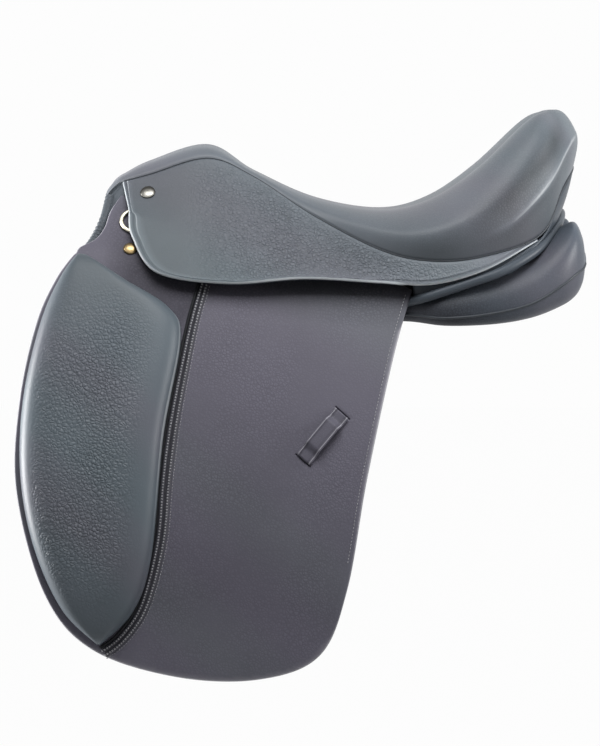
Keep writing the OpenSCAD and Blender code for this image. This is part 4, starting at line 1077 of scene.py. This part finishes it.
# Front and rear edge from the top down, in shares of the flap's width and length
BLOCK_FRONT = [(0.010, 0.012), (-0.034, 0.075), (-0.071, 0.187), (-0.088, 0.375), (-0.064, 0.560),
               (0.003, 0.727), (0.107, 0.868), (0.220, 0.941)]
BLOCK_REAR = [(0.025, 0.012), (0.167, 0.067), (0.301, 0.117), (0.346, 0.190), (0.334, 0.420), (0.344, 0.712),
              (0.312, 0.850), (0.228, 0.941)]
BLOCK_THICK = 24.0
BLOCK_FOOT = 0.3
BLOCK_ROWS = 130
BLOCK_STEPS = 64
BLOCK_HIDE = leather("block_hide", (0.082, 0.103, 0.121), (0.092, 0.097, 0.119), pebble=3.6, depth=1.1,
                     roughness=0.42, patchy=0.45, gloss=0.3, rub_and_highlight_level=2.6, dark=0.5)
v = (0.004 + 0.992 * (1 - np.cos(np.linspace(0, np.pi, BLOCK_ROWS))) / 2)[:, None]
u = ((1 - np.cos(np.linspace(0, np.pi, BLOCK_STEPS))) / 2)[None, :]
flat = mix(spline(BLOCK_FRONT, v + 0 * u), spline(BLOCK_REAR, v + 0 * u), u[..., None])
flat *= (FLAP_WIDTH, -FLAP_LENGTH)
crown = (1 - np.abs(2 * u - 1) ** 5.5) ** 0.5 * (1 - np.abs(2 * v - 1) ** 8) ** 0.5
points, faces = raised(flat, mix(BLOCK_FOOT, BLOCK_THICK, crown), BLOCK_FOOT)
# A painted highlight runs along the rear edge and round the rim; top and foot are painted darker, as shade,
# and the grain shows in the middle
to_rear = (1 - u) * np.linalg.norm(flat[:, -1] - flat[:, 0], axis=1)[:, None]
rear_rim_highlight = 0.95 * bell(to_rear - 1.3, 0.9) * np.interp(v, (0.03, 0.1, 0.7, 0.9), (0.6, 1, 0.9, 0.3))
painted_shade = np.interp(v, (0.05, 0.3, 0.55, 0.85), (-1.3, -0.5, 0.1, -1.2))
painted_light_and_shade = 0.3 * (1 - crown) ** 1.5 + rear_rim_highlight + painted_shade
grainy = np.interp(v, (0.18, 0.42, 0.7, 0.86), (0.12, 1, 1, 0.2)) * np.interp(u, (0.6, 0.84), (1, 0.12))
grainy = grainy * np.clip((crown - 0.72) / 0.22, 0, 1)
for side, mirror in SIDES:
    block = dress(side + "_knee_block", points * mirror, faces, BLOCK_HIDE, side + "_flap_body",
                  [side + "_knee_block"], "block_leather")
    field(block, "edge", painted_light_and_shade.reshape(-1))
    field(block, "grain", grainy.reshape(-1))

# Keepers: a short strap loop on each flap that takes the end of the stirrup leather.
# It is firm leather with a creased rib along each side, and its ends pass through slits in the flap.

# Room for a strap under the loop, its leather, and the lengths of a sewn foot and of the rise beside it
KEEPER_ROOM = 5.0
KEEPER_LEATHER = 2.5
KEEPER_FOOT = 9.0
KEEPER_RISE = 7.0
KEEPER_CLEARANCE = 0.9
# Rib and crease along each side: distance from the side, height or depth
KEEPER_RIB = (1.7, 0.6)
KEEPER_CREASE = (3.3, 0.8)


def keeper_at(x, y, out):
    reach = KEEPER_HALF[0] - np.abs(x)
    f = np.clip((reach - KEEPER_FOOT) / KEEPER_RISE, 0, 1)
    lift = KEEPER_CLEARANCE + KEEPER_LEATHER + KEEPER_ROOM * f * f * (3 - 2 * f)
    x, d = (np.stack([x, y], -1) @ tilt + KEEPER_AT).T
    return flap_at(x, d, out + lift)


h, w = KEEPER_HALF
flat = cut([(-h, -w), (h, -w), (h, w), (-h, w)], 1.6, (0.15, 0.45, 0.9, 1.5, 2.1, 2.7))
from_side = w - np.abs(flat[0][:, 1])
from_rib, from_crease = from_side - KEEPER_RIB[0], from_side - KEEPER_CREASE[0]
relief = KEEPER_RIB[1] * bell(from_rib, 0.7) - KEEPER_CREASE[1] * bell(from_crease, 0.6)
points, faces, gap = leather_cut(flat, KEEPER_LEATHER, keeper_at, relief)
KEEPER_HIDE = leather("keeper_hide", (0.088, 0.084, 0.110), pebble=1.8, depth=0.08, roughness=0.44, rub_and_highlight_level=2.8,
                      dark=0.3)
for side, mirror in SIDES:
    keeper = dress(side + "_keeper", points * mirror, faces, KEEPER_HIDE, side + "_flap_body",
                   [side + "_keeper"], "strap_leather")
    # Painted highlight along each rib and painted shade in each crease; the cut edge is paler
    field(keeper, "edge", 0.9 * bell(from_rib, 0.7) - 1.6 * bell(from_crease, 0.8) + 0.5 * fade(gap, 0.8))
    field(keeper, "grain", 0.5 * (1 - fade(gap, 3)))

# Skirts: leather of the seat's hide that covers the stirrup bars, sewn to the seat along the piping.
# The hem is turned and creased, so a thin bead runs along it; the front half lifts along a soft fold.

SKIRT_LEATHER = 3.0
# Hem at the seat's stations: place along the seat, distance outside the front end of the flap's fold, height
HEM = [(0.0257, -27, 122.5), (0.035, -6, 99), (0.0905, 27, 63), (0.2387, 35, 52), (0.4033, 37, 57.5),
       (0.5679, 36, 53), (0.6811, 37, 50.5), (0.7984, 32, 66.5), (0.9136, -6.5, 96)]
HEM_LAST = len(HEM) - 1
FOLD_FRONT = (0.0237, -29, 125)
FOLD_STOP = 5.45
SKIRT_FOLD_REACH = 9.0
# Rows of points beside the hem, which hold its bead: distances from the hem
HEM_ROWS = np.array([0, 0.25, 0.7, 1.2, 1.7, 2.3, 3.0, 3.7, 4.4, 5.1, 5.9, 7.0, 9.0, 12.0])
SKIRT_ROWS = 44


def hem_point(q):
    return np.stack([along(q[..., 0]), FOLD_START[1] - q[..., 1], q[..., 2]], -1)


def hem_at(s):
    return hem_point(spline(HEM, s / HEM_LAST))


fold_front = hem_point(np.array(FOLD_FRONT, float))
fold_rear = hem_at(np.array(FOLD_STOP))
s = np.concatenate([np.linspace(0.03, 0.55, 36)[:-1], np.linspace(0.55, HEM_LAST - 0.07, 200)])
hem = hem_at(s)
on_fold = mix(fold_front, fold_rear, np.minimum(s / FOLD_STOP, 1)[:, None])
fold = np.where((s < FOLD_STOP)[:, None], on_fold, hem)
seam = seat_at(s, 1.0)
below_fold = np.linalg.norm(hem - fold, axis=1)
length = (np.linalg.norm(fold - seam, axis=1) + below_fold)[:, None]
split = below_fold[:, None] / length
# Share of the way from the hem to the seam
first = np.minimum(HEM_ROWS[-1], 0.6 * length) / length
upper_rows = 1 - (1 - np.linspace(0, 1, SKIRT_ROWS)[None, 1:]) ** 1.4
share = np.concatenate([first * HEM_ROWS / HEM_ROWS[-1], mix(first, 1.0, upper_rows)], 1)
chord = mix(hem[:, None], seam[:, None], share[..., None])
sag = (fold - mix(hem, seam, split))[:, None]
rising = np.sin(np.pi / 2 * np.clip(share / np.maximum(split, 1e-6), 0, 1))
above = np.clip((1 - share) / np.maximum(1 - split, 1e-6), 0, 1)
falling = mix(above, np.sin(np.pi / 2 * above), 0.4)
sheet = chord + sag * np.where(share < split, rising, falling)[..., None]
runs = np.linalg.norm(np.diff(sheet, axis=0), axis=2)
run = np.concatenate([np.zeros((1, sheet.shape[1])), np.cumsum(runs, 0)])
from_edge = np.minimum(share * length, run)
to_seam = (1 - share) * length
high, low = rounded(np.minimum(from_edge, run[-1] - run + 0.3), SKIRT_LEATHER)
bead = 0.8 * bell(from_edge - 1.7, 1.2) - 0.9 * bell(from_edge - 4.2, 0.7) + 0.35 * bell(from_edge - 5.8, 0.7)
bead *= np.clip(length / 25, 0, 1) * (1 - bell(to_seam, 5))
high = high + bead - SEAM_DIP * bell(to_seam, 1.8)
points, faces, out = laid(sheet, (0, -1, 0))
points, faces = shell(points, faces, high.reshape(-1), low.reshape(-1), out)
SKIRT_HIDE = leather("skirt_hide", (0.105, 0.129, 0.146), (0.110, 0.119, 0.140), pebble=3.6, depth=2.4,
                     roughness=0.4, patchy=0.3, gloss=0.3, rub_and_highlight_level=3.4, dark=0.45)
# Painted highlights make two pale lines along the hem's bead, with painted shade in the groove between them;
# the front is smooth and darker
second_highlight = np.interp(s, (0.6, 1.6), (0.85, 0.5))[:, None] * bell(from_edge - 5.5, 0.75)
smooth_front = np.interp(sheet[..., 0], (-170, -70), (1, 0)) * np.clip((from_edge - 6) / 6, 0, 1)
painted_light_and_shade = bell(from_edge, 1.5) - 1.6 * bell(from_edge - 3.4, 0.9) + second_highlight - 1.25 * smooth_front
grainy = np.interp(sheet[..., 0], (-170, -70, 60, 110), (0.05, 1, 1, 0.3))
grainy *= (1 - fade(from_edge, 8)) * (1 - fade(to_seam, 8))
fold_middle = mix(fold_front, fold_rear, 0.5)
axis = unit(fold_rear - fold_front)
down = hem_at(np.array(FOLD_STOP / 2)) - seat_at(FOLD_STOP / 2, 1.0)
down = unit(down - (down @ axis) * axis)
for side, mirror in SIDES:
    skirt = dress(side + "_skirt", points * mirror, faces, SKIRT_HIDE, None,
                  [side + "_skirt", side + "_skirt_top"], "seat_leather")
    field(skirt, "edge", painted_light_and_shade.reshape(-1))
    field(skirt, "grain", grainy.reshape(-1))
    tuple((fold_middle - SKIRT_FOLD_REACH * down) * mirror * MM)
    tuple((fold_middle + SKIRT_FOLD_REACH * down) * mirror * MM)
    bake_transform(skirt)

# Nails and dees: domed nails hold skirt and flap to the tree; a dee hangs in a folded chape by the pommel.
# The skirt nail and the dee are nickel plated, the flap nail is brass.


def polished(name, colour, roughness, turned_away_shade, low=0.0, high=1.0):
    """Plated or bright metal, with rubbed spots; painted paler where it faces outwards, as a painted
    reflection, and darker where it turns away, as painted shade.
    """
    made, sockets, place = finish(name, Metallic=1.0)
    rubs = noise(place, 700.0, 5.0)
    normal = place.node("TexCoord", {}, {}, "Normal")
    sideways = normal.node("SeparateXYZ", {}, {"Vector": normal}, "Y")
    # Painted reflection and painted shade: the colour follows how far the surface faces outwards
    bright = (rubs * 0.5 + 0.5) * sideways.math("ABSOLUTE", sideways).step(low, high)
    bright.shades(colour, turned_away_shade).feeds(sockets["Base Color"])
    (rubs * 0.18 + roughness).feeds(sockets["Roughness"])
    bump(place, noise(place, 2400.0, 2.0), 0.00004, 0.5).feeds(sockets["Normal"])
    return made


METALWORK = {
    "_skirt_nail": polished("nickel_plate", (0.36, 0.35, 0.32), 0.26, 0.12, 0.55, 0.95),
    "_flap_nail": polished("brass", (0.52, 0.38, 0.19), 0.3, 0.25, 0.5, 0.9),
    "_dee": polished("pale_nickel", (0.80, 0.76, 0.60), 0.3, 0.7),
}
for piece, metal in METALWORK.items():
    wear_finish([side + piece for side, _ in SIDES], metal)
DEE_AT = (56.0, 49.0)
DEE_LIFT = 2.6
CHAPE_RADIUS = 3.3
CHAPE_TAIL = 15.0
CHAPE_HALF = 10.0
CHAPE_FLOOR = 2.35
# Section of the folded strap: a loop round the dee and a tail under the skirt
a = np.radians(np.linspace(45, 315, 40))
loop = CHAPE_RADIUS * np.stack([np.cos(a), np.sin(a)], 1)
tail = [(3.5, -0.9), (6, -0.15), (CHAPE_TAIL - 0.6, -0.15), (CHAPE_TAIL, 1.1), (CHAPE_TAIL - 0.6, 2.3),
        (3.5, 2.3)]
section = evenly(np.concatenate([loop, tail]), 0.8)
section[:, 1] = np.minimum(section[:, 1], CHAPE_FLOOR)
across = np.linspace(-CHAPE_HALF, CHAPE_HALF, 5)
points = head_at(DEE_AT[0] + section[:, 0], DEE_AT[1] + across[:, None] + 0 * section[:, 0],
                 DEE_LIFT - section[:, 1]).reshape(-1, 3)
faces = ring_faces(len(across), len(section))
for side, mirror in SIDES:
    dress(side + "_dee_chape", points * mirror, faces, STRAP_HIDE, "saddle", [side + "_dee_chape"],
          "strap_leather", edge=0.2, grain=0.4)

# Cantle back and rear roll: a facing of leather closes the back of the seat above the panels.
# Below it a roll of leather over a cord hides the panel's seam, from flap to flap round the back.

# Line of the roll from the middle to the flap: back from the cantle, outwards, up
REAR_ROLL = [(-14, 0, 121), (-22, 60, 107), (-45, 104, 84.5), (-82, 132, 64), (-119, 139, 51),
             (-160, 138, 37.5), (-178, 126, 32), (-196, 118, 27)]
REAR_ROLL_RADIUS = 5.0
# Where the facing's lower edge meets the roll, at stations of the seat
BACK_STATIONS = (5.6, 6.0, 7.0, 8.0, 11.0)
BACK_ROLL = (0.84, 0.70, 0.50, 0.29, 0)
BACK_LEATHER = 2.5
BACK_SWELL = 1.2


def rear_roll_at(u):
    p = from_middle(REAR_ROLL, u)
    return np.stack([CANTLE_X + p[..., 0], -p[..., 1], p[..., 2]], -1)


ROLL_HIDE = leather("roll_hide", (0.043, 0.053, 0.066), pebble=1.8, depth=0.08, roughness=0.38)
u = np.linspace(0, 1, 120)
taper = REAR_ROLL_RADIUS * np.where(u > 0.9, 1 - 0.35 * ((u - 0.9) / 0.1) ** 2, 1)
dress("rear_roll", *tube(both_ways(rear_roll_at(u)), np.concatenate([taper[::-1], taper[1:]]), 24),
      ROLL_HIDE, "saddle", ["rear_roll"], "trim_leather", edge=0.15, grain=0.4)
s = np.linspace(LAST, BACK_STATIONS[0], 110)
tucked = np.clip((8.0 - s) / 0.6, 0, 1)[:, None]
edge_line = seat_at(s, 1.0) - np.array([0, 0, SEAT_CUT - 0.6]) + tucked * np.array([0, 5.5, -3.0])
roll_line = rear_roll_at(np.interp(s, BACK_STATIONS, BACK_ROLL)) + np.array([0, 0, REAR_ROLL_RADIUS - 0.6])
roll_line = roll_line + tucked * np.array([0, 3.0, -2.0])


def between(line, other, count):
    """A grid of points from one line to another."""
    return mix(line[:, None], other[:, None], np.linspace(0, 1, count)[:, None])


grid = between(both_ways(roll_line), both_ways(edge_line), 16)
points, faces, out = laid(grid, (1, 0, 0))
swell = (BACK_SWELL * np.sin(np.pi * np.linspace(0, 1, 16)) + 0 * grid[..., 0]).reshape(-1)
dress("cantle_back", *shell(points, faces, swell, swell - BACK_LEATHER, out), ROLL_HIDE, "saddle",
      ["cantle_back"], "trim_leather", edge=0.0, grain=0.5)

# A strip under the roll reaches in and down to the panels
COLLAR_REACH = 17.0
COLLAR_DROP = np.array([0, 0, -15.0])
COLLAR_HALF = 0.8
lip = both_ways(rear_roll_at(np.linspace(0, 0.4, 50)) - np.array([1.5, 0, 2.5]))
inwards = unit((np.array([CANTLE_X - 130, 0, 0]) - lip) * np.array([1, 1, 0]))
points, faces, out = laid(between(lip, lip + COLLAR_REACH * inwards + COLLAR_DROP, 10), (0, 0, 1))
points, faces = shell(points, faces, COLLAR_HALF, -COLLAR_HALF, out)
dress("rear_collar", points, faces, ROLL_HIDE, "saddle", (), "trim_leather", edge=0.0, grain=0.4)

# Front roll and pommel facing: thin dark leather turned over the front of the tree and its padding.
# It is gathered by hand where it bends, which leaves small wrinkles, and faces the arch over the withers.

# Lines of the roll and of the arch from the middle outwards: back from the pommel, outwards, up
FRONT_ROLL = [(-4.7, 0, 147.5), (-6, 26, 145), (-9.2, 42, 135.5), (-13, 59, 118), (-19.3, 75, 101),
              (-26.8, 87, 89), (-36.5, 97, 79)]
GULLET_ARCH = [(-5, 0, 122), (-6, 22, 117), (-9, 32, 105), (-13, 42, 88), (-18, 54, 70), (-27, 64, 58),
               (-37, 74, 50)]
FRONT_ROLL_RADIUS = 5.0
WRINKLES = 23
WRINKLE_HEIGHT = 0.8
FACING_LEATHER = 2.0
BAND_HALF = 0.7


def front_at(line, u):
    p = from_middle(line, u)
    return np.stack([p[..., 0] - POMMEL_REACH, -p[..., 1], p[..., 2]], -1)


FACING_HIDE = leather("facing_hide", (0.062, 0.072, 0.084), pebble=1.8, depth=0.15, roughness=0.42)
u = np.linspace(0, 1, 160)
a = np.linspace(0, 2 * np.pi, 28, endpoint=False)
wrinkles = np.sin(2 * np.pi * WRINKLES * u[:, None] + 0.9 * np.sin(2 * a)) * np.sin(7 * u)[:, None] ** 2
radius = FRONT_ROLL_RADIUS + WRINKLE_HEIGHT * wrinkles * np.clip(u / 0.25, 0, 1)[:, None]
radius = np.concatenate([radius[::-1], radius[1:]])
dress("front_roll", *tube(both_ways(front_at(FRONT_ROLL, u)), radius, len(a)), FACING_HIDE, "saddle",
      ["front_roll"], "trim_leather", edge=0.1, grain=0.5)
u = np.linspace(0, 1, 80)
roll_line, arch_line = front_at(FRONT_ROLL, u), front_at(GULLET_ARCH, u)
roll_line = roll_line + (FRONT_ROLL_RADIUS - 1.0) * unit(arch_line - roll_line)
corner = np.clip((u - 0.72) / 0.28, 0, 1)[:, None]
arch_line = mix(arch_line, roll_line, 1 - np.sqrt(1 - 0.96 * corner ** 2))
points, faces, out = laid(between(both_ways(roll_line), both_ways(arch_line), 16), (-1, 0, 0))
dress("pommel_facing", *shell(points, faces, 0.0, -FACING_LEATHER, out), FACING_HIDE, "saddle",
      ["pommel_facing"], "trim_leather", edge=0.0, grain=0.5)

# A band on each side closes the gap between the skirt's front edge, tucked behind it, and the roll
across = np.linspace(0, 1, 24)[:, None]
skirt_front = mix(seat_at(0.03, 1.0), mix(hem[0], seam[0], 0.35), across)
skirt_front = skirt_front + np.array([2.0, 1.5, -1.0]) + across * np.array([0, 8.0, -2.0])
grid = between(skirt_front, front_at(FRONT_ROLL, np.linspace(0.31, 0.6, 24)), 12)
grid[0] = cover_at(-np.linspace(0, 1, 12), np.ones(12)) + np.array([0.3, 0.8, -0.6])
points, faces = shell(grid.reshape(-1, 3), grid_faces(*grid.shape[:2]), BAND_HALF, -BAND_HALF)
for side, mirror in SIDES:
    dress(side + "_pommel_band", points * mirror, faces, FACING_HIDE, "saddle", (), "trim_leather",
          edge=0.0, grain=0.5)

# Studio: a pale paper floor far below the saddle, which hangs as on a hidden stand, and a pale world.
# Both look white to the camera and in gloss, and light the saddle only a little; soft lamps do the rest.

FLOOR_Z = -0.8
FLOOR_HALF = 9.0
FLOOR_WHITE = 0.975
WORLD_LIGHT = 0.1
WORLD_COLOUR = (0.982, 0.982, 0.982, 1)


def seen(tree):
    """1 for what the camera sees, also in gloss and through glass, and 0 for light on the saddle."""
    kinds = ("Is Camera Ray", "Is Glossy Ray", "Is Transmission Ray")
    camera, glossy, through = (Value(tree).node("LightPath", {}, {}, kind) for kind in kinds)
    return (camera + glossy + through).step(0.0, 1.0)


corners = [(-1, -1), (1, -1), (1, 1), (-1, 1)]
mesh = bpy.data.meshes.new("floor")
mesh.from_pydata([(FLOOR_HALF * x, FLOOR_HALF * y, FLOOR_Z) for x, y in corners], [], [(0, 1, 2, 3)])
floor = bpy.data.objects.new("floor", mesh)
bpy.context.scene.collection.objects.link(floor)
paper, sockets, place = finish("floor_paper", Base_Color=(0.8, 0.8, 0.8, 1), Roughness=0.9)
matt = Value(paper.node_tree, paper.node_tree.nodes["Principled BSDF"].outputs[0])
glow = place.node("Emission", {}, {"Color": (1, 1, 1, 1)})
both = place.node("MixShader", {}, {0: seen(paper.node_tree) * FLOOR_WHITE, 1: matt, 2: glow})
both.feeds(paper.node_tree.nodes["Material Output"].inputs[0])
mesh.materials.append(paper)

world = bpy.data.worlds.new("studio")
bpy.context.scene.world = world
world.use_nodes = True
sockets = world.node_tree.nodes["Background"].inputs
sockets["Color"].default_value = WORLD_COLOUR
(seen(world.node_tree) * (1 - WORLD_LIGHT) + WORLD_LIGHT).feeds(sockets["Strength"])


def softbox(name, place, target, size, power, mirrored=True):
    """A soft lamp; one that isn't mirrored in gloss gives its light without a bright spot."""
    light = bpy.data.lights.new(name, "AREA")
    light.shape = "RECTANGLE"
    light.size, light.size_y = size
    light.energy = power
    made = bpy.data.objects.new(name, light)
    made.location = place
    made.visible_glossy = mirrored
    made.rotation_euler = (Vector(target) - Vector(place)).to_track_quat("-Z", "Y").to_euler()
    bpy.context.scene.collection.objects.link(made)


softbox("top_light", (-0.05, -0.6, 0.95), (-0.03, -0.05, 0.1), (1.1, 0.6), 15)
softbox("left_light", (-1.3, 0.1, 0.0), (-0.3, -0.15, -0.1), (0.3, 0.8), 30)
softbox("far_light", (-0.05, 1.15, 0.38), (-0.03, 0.1, -0.05), (1.1, 0.8), 12, mirrored=False)
softbox("right_light", (0.8, -0.25, 0.25), (0.25, -0.08, 0.1), (0.2, 0.3), 5)

# Camera: on the left and a little above the seat, far off with a long lens, as in the photograph.
# The lens is given by its focal length in pixels of the picture.

TARGET = Vector((-0.04304, 0.0, -0.05165))
DISTANCE = 4.0
TILT = math.radians(4.0)
FOCAL_PIXELS = 3717
PICTURE_HEIGHT = 746
SENSOR_HEIGHT = 36.0
camera = bpy.data.cameras.new("camera")
camera.sensor_fit = "VERTICAL"
camera.sensor_height = SENSOR_HEIGHT
camera.lens = FOCAL_PIXELS / PICTURE_HEIGHT * SENSOR_HEIGHT
viewpoint = bpy.data.objects.new("camera", camera)
viewpoint.location = TARGET + DISTANCE * Vector((0, -math.cos(TILT), math.sin(TILT)))
viewpoint.rotation_euler = (TARGET - viewpoint.location).to_track_quat("-Z", "Y").to_euler()
bpy.context.scene.collection.objects.link(viewpoint)
bpy.context.scene.camera = viewpoint
bpy.context.scene.view_settings.view_transform = "Standard"
